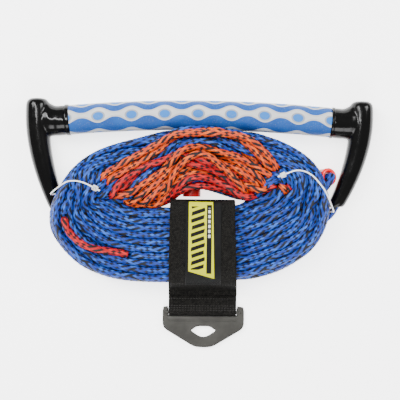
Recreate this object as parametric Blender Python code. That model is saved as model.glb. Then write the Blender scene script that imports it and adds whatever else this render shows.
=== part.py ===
"""A tow rope handle, stored: the rope lies in a hank held by a hook-and-loop strap on a plastic hanger.

The handle lies on its side with its grip along X, and the hank lies on its -Y side. Up is +Z.
Sizes here are in millimetres and MM turns them into metres. Every object hangs on one empty,
which places the origin below the middle of the handle, strap and hanger.
"""

import math

import bmesh
import bpy
import numpy as np
from mathutils import Vector
from mathutils.bvhtree import BVHTree

MM = 0.001
CLEAR = 0.4  # gap between two pieces that touch
FRAME_Y = 22.2  # from the lens in the hank to the middle of the whole object

# Handle: a bar bowed away from the rope, with a moulded cap at each end.
GRIP_HALF = 126.0
GRIP_RADIUS = 13.65
GRIP_BORE = 9.9
BAR_END_Y = 76.3
BAR_BOW = 5.8
BAR_Z = 14.3
TUBE_HALF = 138.0
TUBE_RADIUS = 9.5
TUBE_BORE = 7.9
SOCKET_RADIUS = 9.9
BUSH_RADIUS = 7.5
BUSH_BORE = 4.4
BUSH_LENGTH = 12.0
COLLAR_START = 126.6
COLLAR_SHOULDER = 136.0
COLLAR_RADIUS = 14.05
LEG_X = 154.2
LEG_TOP_Y = 96.4
LEG_BEND_Y = 78.0
LEG_LEAN = {-1: 20.0, 1: 26.0}
LEG_TIP_Y = {-1: -9.0, 1: -4.0}
LEG_POWER = 1.85

# Rope.
ROPE_RADIUS = 3.5
ROPE_ROOM = 4.7
BRIDLE_END_Y = -39.0
BRIDLE_IN = 15.5
BRIDLE_LOW_Z = 4.3

# Hank: one row per station round it, clockwise from the left end. Each has the outer edge,
# the angle of the inner edge on the lens, the top, the underside and the height of the edge.
HANK_ROWS = (
    ((-142.0, -14.0), 180, 39, 2.8, 22),
    ((-135.5, 4.5), 172, 40, 2.8, 23),
    ((-119.0, 31.5), 160, 38, 2.8, 21),
    ((-84.0, 53.0), 145, 35, 2.8, 19),
    ((-43.5, 64.5), 125, 36, 0.0, 24),
    ((-15.9, 71.5), 106, 38, 0.0, 27),
    ((5.2, 72.0), 90, 38, 0.0, 28),
    ((36.3, 70.5), 66, 38, 0.0, 27),
    ((66.9, 62.3), 47, 37, 2.8, 24),
    ((91.0, 52.0), 32, 37, 2.8, 20),
    ((112.5, 35.0), 18, 39, 2.8, 20),
    ((124.5, 10.8), 6, 40, 2.8, 22),
    ((127.0, -6.7), -5, 40, 2.8, 22),
    ((118.5, -37.0), -16, 37, 0.0, 19),
    ((94.5, -56.5), -30, 35, 0.0, 18),
    ((58.0, -72.0), -46, 34, 2.6, 18),
    ((36.0, -75.4), -62, 33.5, 2.6, 18),
    ((4.2, -76.6), -90, 33.5, 2.6, 18),
    ((-29.4, -76.4), -118, 33.5, 2.6, 18),
    ((-56.0, -76.0), -134, 34, 2.6, 18),
    ((-85.0, -73.3), -147, 35, 0.0, 18),
    ((-112.5, -60.0), -160, 36, 0.0, 19),
    ((-135.5, -38.0), -171, 38, 2.8, 21),
)
HANK_STEPS = 2
HANK_SIDES = 16
HANK_ROUND_TOP = 2.3
HANK_ROUND_FOOT = 3.2
LENS_MIDDLE = (5.0, -1.5)
LENS_HALF = 44.0
LENS_UP = 14.0
LENS_DOWN = 5.0
LENS_TILT = 0.05
TIP_ROOM_TOP = 21.3
BRIDLE_ROOM_TOP = 13.0

# Vinyl sleeves on the rope.
SLEEVE_RADIUS = 8.6
SLEEVE_BORE = 6.4
BRIDLE_SLEEVE_X = -6.8
BRIDLE_SLEEVE_Y = (4.4, 40.0)
BRIDLE_SLEEVE_Z = 9.2
LOOP_SLEEVE_MOUTH = (124.2, 24.8, 17.4)
LOOP_SLEEVE_AXIS = (0.45, 0.1, 0.89)
LOOP_SLEEVE_LENGTH = 14.0

# Keeper strap, a wide webbing that passes through the lens of the hank.
STRAP_X = (-28.0, 37.6)
WEB = 1.5
HINGE = (-7.0, 35.6)
HINGE_GAP = 1.4
FLAP_END = (-89.3, 6.9)
PATCH = 0.8
LABEL_X = (-12.1, 21.8)
LABEL_THICK = 0.5

# Hanger.
HANGER_X = (-33.4, 44.6)
HANGER_TOP_Y = -101.2
HANGER_SHOULDER_Y = -121.6
HANGER_TIP_Y = -140.2
HANGER_THICK = 3.6
HANGER_BAR = (-106.6, 3.3)
HANGER_BAR_RADIUS = 1.5
SLOT_LOW_Y = -110.7
SLOT_SIDE = 0.8
EYE_MIDDLE = (5.7, -125.6)
EYE_HALF = (12.6, 5.6)

# Cable ties round the ends of the hank. Each goes over the hank from its head to the outer
# edge, in plan, and then comes back under it and up beside the head.
TIE_WIDTH = 3.4
TIE_THICK = 1.1
TIE_ROOM = 0.8
TIE_OVER = {
    "left": ((-96.6, 11.5), (-109.0, 17.0), (-121.0, 17.6), (-131.0, 12.0)),
    "right": ((78.6, 25.5), (92.0, 30.0), (105.0, 26.0), (117.0, 13.0), (122.5, 3.0)),
}
TIE_UNDER = {
    "left": ((-139.2, 6.0, 27.5), (-136.0, 5.6, 21.8), (-127.0, 7.0, 20.6), (-116.0, 10.0, 12.6),
             (-108.0, 12.5, 3.0), (-100.0, 12.0, 1.0)),
    "right": ((129.6, -8.6, 25.0), (128.6, -9.0, 15.0), (120.0, -8.0, 9.6), (106.0, 2.0, 4.0),
              (93.0, 14.0, 1.0), (83.0, 22.0, 1.0)),
}
TIE_HEAD = (7.4, 7.0, 4.6)


def clear_scene():
    for item in list(bpy.data.objects):
        bpy.data.objects.remove(item, do_unlink=True)


def material(name, colour, roughness, metallic=0.0):
    made = bpy.data.materials.new(name)
    made.use_nodes = True
    shader = made.node_tree.nodes["Principled BSDF"]
    shader.inputs["Base Color"].default_value = (*colour, 1.0)
    shader.inputs["Roughness"].default_value = roughness
    shader.inputs["Metallic"].default_value = metallic
    return made


def link(name, data, paint, frame):
    item = bpy.data.objects.new(name, data)
    data.materials.append(paint)
    bpy.context.scene.collection.objects.link(item)
    item.parent = frame
    return item


def mesh_object(name, verts, faces, paint, frame, smooth=True):
    mesh = bpy.data.meshes.new(name)
    mesh.from_pydata([tuple(c * MM for c in v) for v in verts], [], faces)
    shape = bmesh.new()
    shape.from_mesh(mesh)
    bmesh.ops.recalc_face_normals(shape, faces=shape.faces)
    shape.to_mesh(mesh)
    shape.free()
    if smooth:
        mesh.shade_smooth()
        mesh.set_sharp_from_angle(angle=math.radians(40))
    return link(name, mesh, paint, frame)


def loft(name, rings, paint, frame, closed=False):
    """A skin over rings of equal size. An open loft gets a flat cap at each end."""
    sides = len(rings[0])
    verts = [tuple(p) for ring in rings for p in ring]
    faces = []
    for k in range(len(rings) if closed else len(rings) - 1):
        low, high = k * sides, (k + 1) % len(rings) * sides
        for i in range(sides):
            j = (i + 1) % sides
            faces.append((low + i, low + j, high + j, high + i))
    if not closed:
        faces.append(tuple(reversed(range(sides))))
        faces.append(tuple(range(len(verts) - sides, len(verts))))
    return mesh_object(name, verts, faces, paint, frame)


def smooth_line(points, count, closed=False):
    """count points, evenly spaced along the round curve through the given points."""
    p = np.array(points, float)
    if closed:
        p = np.vstack([p[-1], p, p[0], p[1]])
    else:
        p = np.vstack([2 * p[0] - p[1], p, 2 * p[-1] - p[-2]])
    t = np.linspace(0, 1, 24, endpoint=False)[:, None]
    runs = []
    for a, b, c, d in zip(p, p[1:], p[2:], p[3:]):
        runs.append(
            0.5
            * (
                2 * b
                + (c - a) * t
                + (2 * a - 5 * b + 4 * c - d) * t**2
                + (3 * b - a - 3 * c + d) * t**3
            )
        )
    line = np.vstack([*runs, p[1] if closed else p[-2]])
    gone = np.concatenate([[0], np.cumsum(np.linalg.norm(np.diff(line, axis=0), axis=1))])
    at = np.linspace(0, gone[-1], count + 1 if closed else count)
    if closed:
        at = at[:-1]
    return np.stack([np.interp(at, gone, line[:, k]) for k in range(line.shape[1])], axis=1)


def ring_about(centre, direction, radius, sides):
    """Points round a centre, in the plane across a direction."""
    along = Vector(direction).normalized()
    side = along.cross(Vector((0, 0, 1)))
    if side.length < 0.1:
        side = along.cross(Vector((0, 1, 0)))
    side.normalize()
    up = side.cross(along)
    turn = [2 * math.pi * i / sides for i in range(sides)]
    return [Vector(centre) + radius * (math.cos(a) * side + math.sin(a) * up) for a in turn]


def directions(line):
    return np.gradient(np.array(line, float), axis=0)


def hollow(name, line, outer, bore, sides, paint, frame):
    """A pipe along a line: out along the outside and back through the bore."""
    heads = directions(line)
    rings = [ring_about(p, d, outer, sides) for p, d in zip(line, heads)]
    rings += [ring_about(p, d, bore, sides) for p, d in zip(line[::-1], heads[::-1])]
    return loft(name, rings, paint, frame, closed=True)


def rod(name, line, radius, sides, paint, frame):
    rings = [ring_about(p, d, radius, sides) for p, d in zip(line, directions(line))]
    return loft(name, rings, paint, frame)


def rope(name, line, radius, paint, frame):
    data = bpy.data.curves.new(name, "CURVE")
    data.dimensions = "3D"
    data.bevel_depth = radius * MM
    data.bevel_resolution = 2
    data.use_fill_caps = True
    spline = data.splines.new("POLY")
    spline.points.add(len(line) - 1)
    for point, place in zip(spline.points, line):
        point.co = (*(c * MM for c in place), 1.0)
    return link(name, data, paint, frame)


def prism(name, outline, low, high, paint, frame, axis="Z"):
    """A flat outline pushed along an axis. An outline for X is in Y and Z."""
    count = len(outline)
    if axis == "Z":
        verts = [(x, y, h) for h in (low, high) for x, y in outline]
    else:
        verts = [(h, y, z) for h in (low, high) for y, z in outline]
    faces = [tuple(range(count)), tuple(range(count, 2 * count))]
    faces += [(i, (i + 1) % count, (i + 1) % count + count, i + count) for i in range(count)]
    return mesh_object(name, verts, faces, paint, frame)


def cut(item, cutter, operation="DIFFERENCE"):
    """Takes a cutter's shape from an object, or adds it, and keeps the cutter as a guide."""
    change = item.modifiers.new(cutter.name, "BOOLEAN")
    change.operation = operation
    change.object = cutter
    change.solver = "EXACT"
    cutter.hide_render = True
    cutter.display_type = "WIRE"


def bar_line(low, high, count):
    """The bowed axis of the bar between two distances along X."""
    x = np.linspace(low, high, count)
    y = BAR_END_Y + BAR_BOW * (1 - (x / GRIP_HALF) ** 2)
    return np.stack([x, y, np.full(count, BAR_Z)], axis=1)


def leg_middle(side, y):
    """X of a leg's middle at a given Y: straight at the elbow, then leaning inwards."""
    t = max(0.0, (LEG_BEND_Y - y) / (LEG_BEND_Y + 9.0))
    return side * (LEG_X - LEG_LEAN[side] * t**LEG_POWER)


def leg_half(side, y):
    """Half the width and half the thickness of a leg at a given Y."""
    t = min(1.0, max(0.0, (LEG_BEND_Y - y) / (LEG_BEND_Y - LEG_TIP_Y[side])))
    return 11.0 - 3.2 * t**1.6, 14.2 - 6.0 * t**1.2


def leg_rings(side, sides=20):
    """Rings from the rounded top of a leg down to its tip."""
    tip = LEG_TIP_Y[side]
    top_steps = ((0.0, 0.56), (0.9, 0.76), (2.6, 0.9), (5.4, 0.98), (9.5, 1.0))
    places = [(LEG_TOP_Y - drop, share) for drop, share in top_steps]
    places += [(y, 1.0) for y in np.linspace(LEG_BEND_Y, tip + 3.0, 11)]
    places += [(tip + 1.0, 0.95), (tip, 0.84)]
    rings = []
    for y, share in places:
        half_x, half_z = leg_half(side, y)
        middle = leg_middle(side, y)
        ring = []
        for i in range(sides):
            a = 2 * math.pi * i / sides
            across = math.copysign(abs(math.cos(a)) ** 0.88, math.cos(a))
            up = math.copysign(abs(math.sin(a)) ** 0.88, math.sin(a))
            ring.append((middle + half_x * share * across, y, half_z * (1 + share * up) + 0.1))
        rings.append(ring)
    return rings


def collar_rings(side):
    """Rings of the collar and its flare into the elbow, seen along the bar."""
    rings = []
    steps = (
        (COLLAR_START, COLLAR_RADIUS - 0.7, 0.0),
        (COLLAR_START + 0.8, COLLAR_RADIUS, 0.0),
        (COLLAR_SHOULDER - 1.0, COLLAR_RADIUS, 0.0),
        (COLLAR_SHOULDER + 1.5, COLLAR_RADIUS - 0.3, 1.2),
        (COLLAR_SHOULDER + 6.5, COLLAR_RADIUS - 0.1, 4.4),
        (LEG_X - 2.0, COLLAR_RADIUS - 1.6, 4.2),
    )
    for x, radius, rise in steps:
        middle = bar_line(side * x, side * x, 1)[0]
        slope = -2 * BAR_BOW * side * x / GRIP_HALF**2
        lift = rise / 2
        ring = []
        for i in range(20):
            a = 2 * math.pi * i / 20
            out = lift + (radius + lift) * math.cos(a)
            ring.append((middle[0] - slope * out, middle[1] + out, BAR_Z + radius * math.sin(a)))
        rings.append(ring)
    return rings


def bridle_half(side):
    """The bridle rope of one side, from under the hank to the middle of the bar's end."""
    tip = LEG_TIP_Y[side]
    low_x = side * (abs(leg_middle(side, tip)) - BRIDLE_IN)
    points = [(low_x, BRIDLE_END_Y, BRIDLE_LOW_Z)]
    points.append((low_x + side * 4.6, tip - 20, BRIDLE_LOW_Z))
    points.append((low_x + side * 12.4, tip - 9, BRIDLE_LOW_Z + 2.2))
    for y in (tip, tip + 14, tip + 32, 46.0, 58.0):
        points.append((leg_middle(side, y), y, leg_half(side, y)[1] + 0.1))
    end = bar_line(side * (LEG_X - 14), side * (LEG_X - 14), 1)[0]
    points.append((side * (LEG_X - 3.6), end[1] - 5.2, BAR_Z))
    points.append(tuple(end))
    return points


def end_cap(side, word, paint, frame):
    cap = loft(f"end_cap_{word}", leg_rings(side), paint, frame)
    collar = loft(f"collar_{word}", collar_rings(side), paint, frame)
    socket = rod(
        f"socket_{word}",
        bar_line(side * 120.0, side * (TUBE_HALF + CLEAR), 5),
        SOCKET_RADIUS,
        20,
        paint,
        frame,
    )
    points = bridle_half(side)[1:]
    points.append(tuple(bar_line(side * 130.0, side * 130.0, 1)[0]))
    passage = rod(f"passage_{word}", smooth_line(points, 26), ROPE_ROOM, 10, paint, frame)
    cut(cap, collar, "UNION")
    cut(cap, socket)
    cut(cap, passage)
    return cap


def handle(paints, frame):
    grip = bar_line(-GRIP_HALF, GRIP_HALF, 13)
    hollow("grip_sleeve", grip, GRIP_RADIUS, GRIP_BORE, 24, paints["foam"], frame)
    tube = bar_line(-TUBE_HALF, TUBE_HALF, 13)
    hollow("handle_tube", tube, TUBE_RADIUS, TUBE_BORE, 16, paints["alloy"], frame)
    for side, word in ((-1, "left"), (1, "right")):
        end_cap(side, word, paints["cap"], frame)
        inner, outer = TUBE_HALF - BUSH_LENGTH, TUBE_HALF - CLEAR
        line = bar_line(side * inner, side * outer, 3)
        hollow(f"rope_bush_{word}", line, BUSH_RADIUS, BUSH_BORE, 16, paints["bush"], frame)
    bar = bar_line(-120.0, 120.0, 11)
    points = bridle_half(-1) + [tuple(p) for p in bar] + bridle_half(1)[::-1]
    rope("bridle_rope", smooth_line(points, 56), ROPE_RADIUS, paints["rope"], frame)


def lens_point(angle):
    """A point of the lens, the narrow opening in the middle of the hank."""
    a = math.radians(angle)
    x = LENS_HALF * math.cos(a)
    rise = LENS_UP if math.sin(a) > 0 else LENS_DOWN
    return LENS_MIDDLE[0] + x, LENS_MIDDLE[1] + LENS_TILT * x + rise * math.sin(a)


def hank_ring(row):
    """The section of the hank between its outer edge and the lens, in a standing plane."""
    outer_x, outer_y, inner_x, inner_y, top, foot, edge = row
    middle = np.array([outer_x + inner_x, outer_y + inner_y]) / 2
    half = np.array([outer_x - inner_x, outer_y - inner_y]) / 2
    ring = []
    for i in range(HANK_SIDES):
        a = 2 * math.pi * (i + 0.5) / HANK_SIDES
        power = 2 / (HANK_ROUND_TOP if math.sin(a) > 0 else HANK_ROUND_FOOT)
        out = math.copysign(abs(math.cos(a)) ** power, math.cos(a))
        up = abs(math.sin(a)) ** power
        z = edge + (top - edge) * up if math.sin(a) > 0 else edge - (edge - foot) * up
        if z < foot + 1.4:
            z = foot
        ring.append((*(middle + half * out), z))
    return ring


def hank_solid(paint, frame):
    rows = []
    for (x, y), angle, top, foot, edge in HANK_ROWS:
        rows.append((x, y, *lens_point(angle), top, foot, edge))
    rows = np.array(rows)
    after, before = np.roll(rows, -1, axis=0), np.roll(rows, 1, axis=0)
    beyond = np.roll(rows, -2, axis=0)
    rings = []
    for a, b, c, d in zip(before, rows, after, beyond):
        for k in range(HANK_STEPS):
            t = k / HANK_STEPS
            row = 0.5 * (
                2 * b
                + (c - a) * t
                + (2 * a - 5 * b + 4 * c - d) * t**2
                + (3 * b - a - 3 * c + d) * t**3
            )
            row[4:] = b[4:] + (c - b)[4:] * t
            rings.append(hank_ring(row))
    return loft("rope_hank", rings, paint, frame, closed=True)


def tip_room(side, word, paint, frame):
    """Room under the end of the hank for a cap's tip, also as the handle is drawn out."""
    tip = LEG_TIP_Y[side]
    inner = abs(leg_middle(side, tip)) - 9.6
    outline = [(side * 170, tip - 1.5), (side * inner, tip - 1.5)]
    outline += [(side * (inner - 0.4), tip + 12), (side * (inner + 3), tip + 26)]
    outline += [(side * (inner + 8), tip + 52), (side * 170, tip + 52)]
    if side > 0:
        outline.reverse()
    return prism(f"tip_room_{word}", outline, -4.0, TIP_ROOM_TOP, paint, frame)


def bridle_room(side, word, paint, frame):
    """A channel under the hank, as wide as the bridle rope needs while the handle is drawn out."""
    tip = LEG_TIP_Y[side]
    inner = abs(bridle_half(side)[0][0]) - ROPE_RADIUS - 1.6
    plan = ((inner, BRIDLE_END_Y - 1.8), (inner + 11, BRIDLE_END_Y - 1.8), (inner + 30, tip - 16))
    plan += ((inner + 30, tip + 16), (inner + 8, tip + 16), (inner, tip - 6))
    outline = [(side * x, y) for x, y in plan]
    return prism(f"bridle_room_{word}", outline, -4.0, BRIDLE_ROOM_TOP, paint, frame)


def loop_sleeve_line():
    mouth = np.array(LOOP_SLEEVE_MOUTH)
    axis = np.array(LOOP_SLEEVE_AXIS)
    axis /= np.linalg.norm(axis)
    middle = mouth - axis * LOOP_SLEEVE_LENGTH / 2
    return np.stack([2 * middle - mouth, middle, mouth])


def boat_loop_points():
    foot, _, mouth = loop_sleeve_line()
    axis = (mouth - foot) / LOOP_SLEEVE_LENGTH
    return [
        foot + axis * 2.0,
        foot + axis * 8.0,
        mouth,
        mouth + axis * 4.0,
        mouth + (-1.6, -6.4, 6.8),
        mouth + (-6.4, -12.6, 4.6),
        mouth + (-11.0, -16.4, -0.4),
        mouth + (-14.4, -19.0, -6.6),
    ]


def rope_pieces(paints, frame):
    """The hank, the sleeves on the rope and the eye at its boat end."""
    hank = hank_solid(paints["rope"], frame)
    low, high = BRIDLE_SLEEVE_Y
    y = np.linspace(low, high, 4)
    line = np.stack([np.full(4, BRIDLE_SLEEVE_X), y, np.full(4, BRIDLE_SLEEVE_Z)], axis=1)
    room = line + np.outer([-1, 0, 0, 1], (0, 0.5, 0))
    hollow("bridle_sleeve", line, SLEEVE_RADIUS, SLEEVE_BORE, 16, paints["vinyl"], frame)
    sleeve = loop_sleeve_line()
    hollow("boat_loop_sleeve", sleeve, SLEEVE_RADIUS, SLEEVE_BORE, 16, paints["vinyl"], frame)
    loop = smooth_line(boat_loop_points(), 16)
    rope("boat_loop_rope", loop, ROPE_RADIUS, paints["rope"], frame)
    axis = (sleeve[2] - sleeve[0]) / LOOP_SLEEVE_LENGTH
    deep = np.stack([sleeve[0] - axis * 6, sleeve[1], sleeve[2] + axis])
    grown = SLEEVE_RADIUS + CLEAR + 0.2
    cut(hank, rod("bridle_sleeve_room", room, grown, 16, paints["rope"], frame))
    cut(hank, rod("loop_sleeve_room", deep, grown, 16, paints["rope"], frame))
    after = np.vstack([loop[6:], 2 * loop[-1] - loop[-2]])
    cut(hank, rod("loop_rope_room", after, ROPE_RADIUS + 2 * CLEAR, 10, paints["rope"], frame))
    bar = bar_line(-GRIP_HALF, GRIP_HALF, 13)
    cut(hank, rod("grip_room", bar, GRIP_RADIUS + 2 * CLEAR, 20, paints["rope"], frame))
    for side, word in ((-1, "left"), (1, "right")):
        cut(hank, tip_room(side, word, paints["rope"], frame))
        cut(hank, bridle_room(side, word, paints["rope"], frame))
    return hank


def offset_line(line, distance):
    """A flat line moved to its left by a distance."""
    heads = directions(line)
    heads /= np.linalg.norm(heads, axis=1)[:, None]
    return np.array(line) + distance * np.stack([-heads[:, 1], heads[:, 0]], axis=1)


def strip(name, line, thick, sides_x, paint, frame):
    """A band of even thickness along a line in Y and Z, as wide as sides_x says."""
    outline = [*offset_line(line, thick / 2), *offset_line(line, -thick / 2)[::-1]]
    return prism(name, outline, *sides_x, paint, frame, axis="X")


def flap_points():
    y, z = HINGE
    return [
        (y - HINGE_GAP, z + 0.15),
        (-20.0, 36.8),
        (-42.0, 37.0),
        (-60.0, 35.4),
        (-72.5, 29.8),
        (-79.2, 21.0),
        (-81.2, 13.2),
        (-84.0, 8.2),
        FLAP_END,
    ]


def strap_points():
    """From the tail under the flap, round the hanger's bar, under the hank and up the lens."""
    bar_y, bar_z = HANGER_BAR
    loop = HANGER_BAR_RADIUS + CLEAR + WEB / 2
    points = [(-80.5, 2.85), (-88.0, 2.85), (-97.0, 2.9), (-101.5, 4.2)]
    for angle in (70, 100, 135, 170, 205, 240, 265):
        a = math.radians(angle)
        points.append((bar_y + loop * math.cos(a), bar_z + loop * math.sin(a)))
    points += [(-101.0, 0.95), (-90.0, 0.95), (-60.0, 0.95), (-30.0, 0.95), (-9.0, 0.95)]
    points += [(-2.5, 2.8), (0.2, 8.0), (1.0, 16.0), (1.3, 24.0), (-0.2, 31.0)]
    points += [(HINGE[0] + HINGE_GAP, HINGE[1] - 0.25)]
    return points


def keeper(paints, frame):
    strap = smooth_line(strap_points(), 84)
    strip("keeper_strap", strap, WEB, STRAP_X, paints["webbing"], frame)
    flap = smooth_line(flap_points(), 34)
    strip("keeper_flap", flap, WEB, STRAP_X, paints["webbing"], frame)
    label = offset_line(flap[1:29], -(WEB / 2 + 0.3 + LABEL_THICK / 2))
    strip("label_patch", label, LABEL_THICK, LABEL_X, paints["label"], frame)
    inset = (STRAP_X[0] + 3.0, STRAP_X[1] - 3.0)
    loop_z = 2.85 + WEB / 2 + 0.3 + PATCH / 2
    loop = np.array([(-82.5, loop_z), (-86.0, loop_z), (-89.0, loop_z)])
    strip("loop_patch", loop, PATCH, inset, paints["loop"], frame)
    hook = offset_line(flap[-3:], WEB / 2 + 0.3 + PATCH / 2)
    strip("hook_patch", hook, PATCH, inset, paints["hook"], frame)


def rounded(points, radii, steps=5):
    """An outline with each corner replaced by an arc-like curve of its own radius."""
    outline = []
    count = len(points)
    for k, (corner, radius) in enumerate(zip(points, radii)):
        here = Vector(corner)
        back = (Vector(points[k - 1]) - here).normalized()
        on = (Vector(points[(k + 1) % count]) - here).normalized()
        start, end = here + back * radius, here + on * radius
        for i in range(steps + 1):
            t = i / steps
            outline.append(tuple((1 - t) ** 2 * start + 2 * t * (1 - t) * here + t**2 * end))
    return outline


def hanger(paints, frame):
    left, right = HANGER_X
    middle = EYE_MIDDLE[0]
    corners = [(left, HANGER_TOP_Y), (left, HANGER_SHOULDER_Y), (middle - 8, HANGER_TIP_Y)]
    corners += [(middle + 8, HANGER_TIP_Y), (right, HANGER_SHOULDER_Y), (right, HANGER_TOP_Y)]
    outline = rounded(corners, (5, 5, 5, 5, 5, 5))
    plate = prism("hanger", outline, 0.0, HANGER_THICK, paints["plastic"], frame)
    low, high = STRAP_X[0] - SLOT_SIDE, STRAP_X[1] + SLOT_SIDE
    slot = [(low, SLOT_LOW_Y), (high, SLOT_LOW_Y), (high, -95.0), (low, -95.0)]
    cut(plate, prism("strap_slot", slot, -2.0, 8.0, paints["plastic"], frame))
    bar_y, bar_z = HANGER_BAR
    line = [(low - 2.4, bar_y, bar_z), (middle, bar_y, bar_z), (high + 2.4, bar_y, bar_z)]
    bar = rod("hanger_bar", line, HANGER_BAR_RADIUS, 12, paints["plastic"], frame)
    cut(plate, bar, "UNION")
    x, y = EYE_MIDDLE
    half_x, half_y = EYE_HALF
    corners = [(x - half_x, y + 1.2), (x, y - half_y * 1.25), (x + half_x, y + 1.2)]
    corners += [(x + half_x * 0.5, y + half_y), (x - half_x * 0.5, y + half_y)]
    eye = rounded(corners, (2.0, 7.0, 2.0, 3.0, 3.0))
    cut(plate, prism("eye", eye, -2.0, 8.0, paints["plastic"], frame))


def height_of(tree, x, y, up):
    """Height of a solid's top or underside over a point, in millimetres."""
    start = Vector((x * MM, y * MM, -1.0 if up else 1.0))
    hit = tree.ray_cast(start, Vector((0, 0, 1.0 if up else -1.0)))[0]
    return hit.z / MM if hit else 0.0


def tie_loop(word, tree):
    """The closed line of a cable tie: over the hank, round its edge, under it and up inside."""
    over = smooth_line(TIE_OVER[word], 9)
    points = [(x, y, height_of(tree, x, y, False) + 1.3) for x, y in over]
    points += TIE_UNDER[word]
    head_x, head_y = TIE_OVER[word][0]
    points.append((head_x, head_y - 0.6, 12.0))
    points.append((head_x, head_y - 0.3, 24.0))
    return smooth_line(points, 40, closed=True)


def ribbon(name, line, width, thick, paint, frame):
    """A flat band along a closed line, its width lying across the line's own plane."""
    across = Vector((line[0] - line[len(line) // 2]) * (1, 1, 0)).cross(Vector((0, 0, 1)))
    heads = np.roll(line, -1, axis=0) - np.roll(line, 1, axis=0)
    rings = []
    for place, head in zip(line, heads):
        ahead = Vector(head).normalized()
        side = (across - ahead * across.dot(ahead)).normalized()
        out = side.cross(ahead)
        corners = ((1, 1), (-1, 1), (-1, -1), (1, -1))
        rings.append(
            [Vector(place) + side * a * width / 2 + out * b * thick / 2 for a, b in corners]
        )
    return loft(name, rings, paint, frame, closed=True)


def cable_ties(hank, paints, frame):
    bpy.context.view_layer.update()
    graph = bpy.context.evaluated_depsgraph_get()
    tree = BVHTree.FromObject(hank, graph)
    for word in ("left", "right"):
        line = tie_loop(word, tree)
        tie = ribbon(f"cable_tie_{word}", line, TIE_WIDTH, TIE_THICK, paints["nylon"], frame)
        head_x, head_y = TIE_OVER[word][0]
        half_x, half_y, tall = TIE_HEAD[0] / 2, TIE_HEAD[1] / 2, TIE_HEAD[2]
        corners = [(head_x - half_x, head_y - half_y), (head_x + half_x, head_y - half_y)]
        corners += [(head_x + half_x, head_y + half_y), (head_x - half_x, head_y + half_y)]
        low = max(height_of(tree, x, y, False) for x, y in [*corners, (head_x, head_y)]) + 2 * CLEAR
        outline = rounded(corners, (1.2,) * 4, steps=2)
        head = prism(f"tie_head_{word}", outline, low, low + tall, paints["nylon"], frame)
        cut(tie, head, "UNION")
        grown = TIE_WIDTH + 2 * TIE_ROOM, TIE_THICK + 2 * TIE_ROOM
        cut(hank, ribbon(f"tie_room_{word}", line, *grown, paints["rope"], frame))


def main():
    clear_scene()
    frame = bpy.data.objects.new("object_frame", None)
    frame.location = (0, FRAME_Y * MM, 0)
    bpy.context.scene.collection.objects.link(frame)
    paints = {
        "foam": material("grip_foam", (0.28, 0.45, 0.75), 0.7),
        "alloy": material("alloy", (0.8, 0.8, 0.82), 0.3, 1.0),
        "cap": material("cap_plastic", (0.01, 0.01, 0.012), 0.2),
        "bush": material("bush_plastic", (0.05, 0.05, 0.05), 0.5),
        "rope": material("rope_fibre", (0.02, 0.08, 0.6), 0.6),
        "vinyl": material("sleeve_vinyl", (0.75, 0.02, 0.01), 0.4),
        "webbing": material("webbing", (0.012, 0.012, 0.013), 0.8),
        "label": material("label", (0.75, 0.75, 0.08), 0.5),
        "hook": material("hook_tape", (0.01, 0.01, 0.01), 0.9),
        "loop": material("loop_tape", (0.015, 0.015, 0.015), 0.95),
        "plastic": material("hanger_plastic", (0.07, 0.07, 0.065), 0.45),
        "nylon": material("tie_nylon", (0.85, 0.85, 0.83), 0.35),
    }
    handle(paints, frame)
    hank = rope_pieces(paints, frame)
    keeper(paints, frame)
    hanger(paints, frame)
    cable_ties(hank, paints, frame)


main()
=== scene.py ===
"""Looks of the tow rope handle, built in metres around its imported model."""

import math

import bmesh
import bpy
import numpy as np
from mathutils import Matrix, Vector
from mathutils.bvhtree import BVHTree


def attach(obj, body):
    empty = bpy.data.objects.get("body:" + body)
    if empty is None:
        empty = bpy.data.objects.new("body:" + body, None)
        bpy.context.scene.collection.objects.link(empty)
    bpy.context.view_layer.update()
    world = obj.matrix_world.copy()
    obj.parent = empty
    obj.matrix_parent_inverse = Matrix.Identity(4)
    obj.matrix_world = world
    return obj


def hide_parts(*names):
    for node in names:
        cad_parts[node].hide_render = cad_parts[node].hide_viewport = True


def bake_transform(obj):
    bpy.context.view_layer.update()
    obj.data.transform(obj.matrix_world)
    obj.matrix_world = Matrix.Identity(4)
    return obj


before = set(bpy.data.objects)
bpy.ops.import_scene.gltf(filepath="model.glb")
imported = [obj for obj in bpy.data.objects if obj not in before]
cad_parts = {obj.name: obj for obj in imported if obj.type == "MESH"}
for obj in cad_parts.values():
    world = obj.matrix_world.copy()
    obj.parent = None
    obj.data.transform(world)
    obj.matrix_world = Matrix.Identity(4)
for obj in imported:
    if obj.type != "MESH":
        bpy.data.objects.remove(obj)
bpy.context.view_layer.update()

MM = 0.001
# The hank's own frame: millimetres, with y = 0 through the lens, 22.2 mm ahead of the origin.
FRAME_Y = 22.2

# Camera and floor, in metres
LENS = 103.8
CAMERA_AT = (0.0013, 0.0236, 1.114)
CAMERA_ROLL = 0.6
FLOOR_HALF = 4.0
FLOOR_Z = -0.0002
FLOOR_GLOW = 2.6

# Rope
ROPE = 7.0
TURNS = 42
GAP = 6.9
STATIONS = 168
BRAID_SIDES = 16
BRAID_STEP = 1.3
BRAID_RELIEF = 0.3
BRAID_CELL = 5.6
YARNS = 8
# Packing of the turns: in each round a turn falls, is evened out and is shoved off the others
PACKING_ROUNDS = 260
FALL = 0.28
EVEN = 0.30
SHOVE = 0.62
SEED = 14
# Turns in each layer of the lower band, and in each level that fills up the upper band
LAYERS = (10, 11, 11, 10)
UPPER_LEVEL = 9
# Height of the hank: plain, more of it in the upper band, and more where the band is narrow
HANK_HEIGHT = 31.0
ARCH_RISE = 5.0
NARROW_RISE = 11.0
SEAM = 14
# Black yarns among the eight of each family, their black (also used as the painted shade in the
# gaps between yarns), and the threads seen in one yarn
TRACERS = ((2,), (0, 1, 3, 4, 6))
TRACER_AND_GAP_SHADE_BLACK = (0.004, 0.004, 0.006)
THREADS_TURN = 31.4

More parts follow.
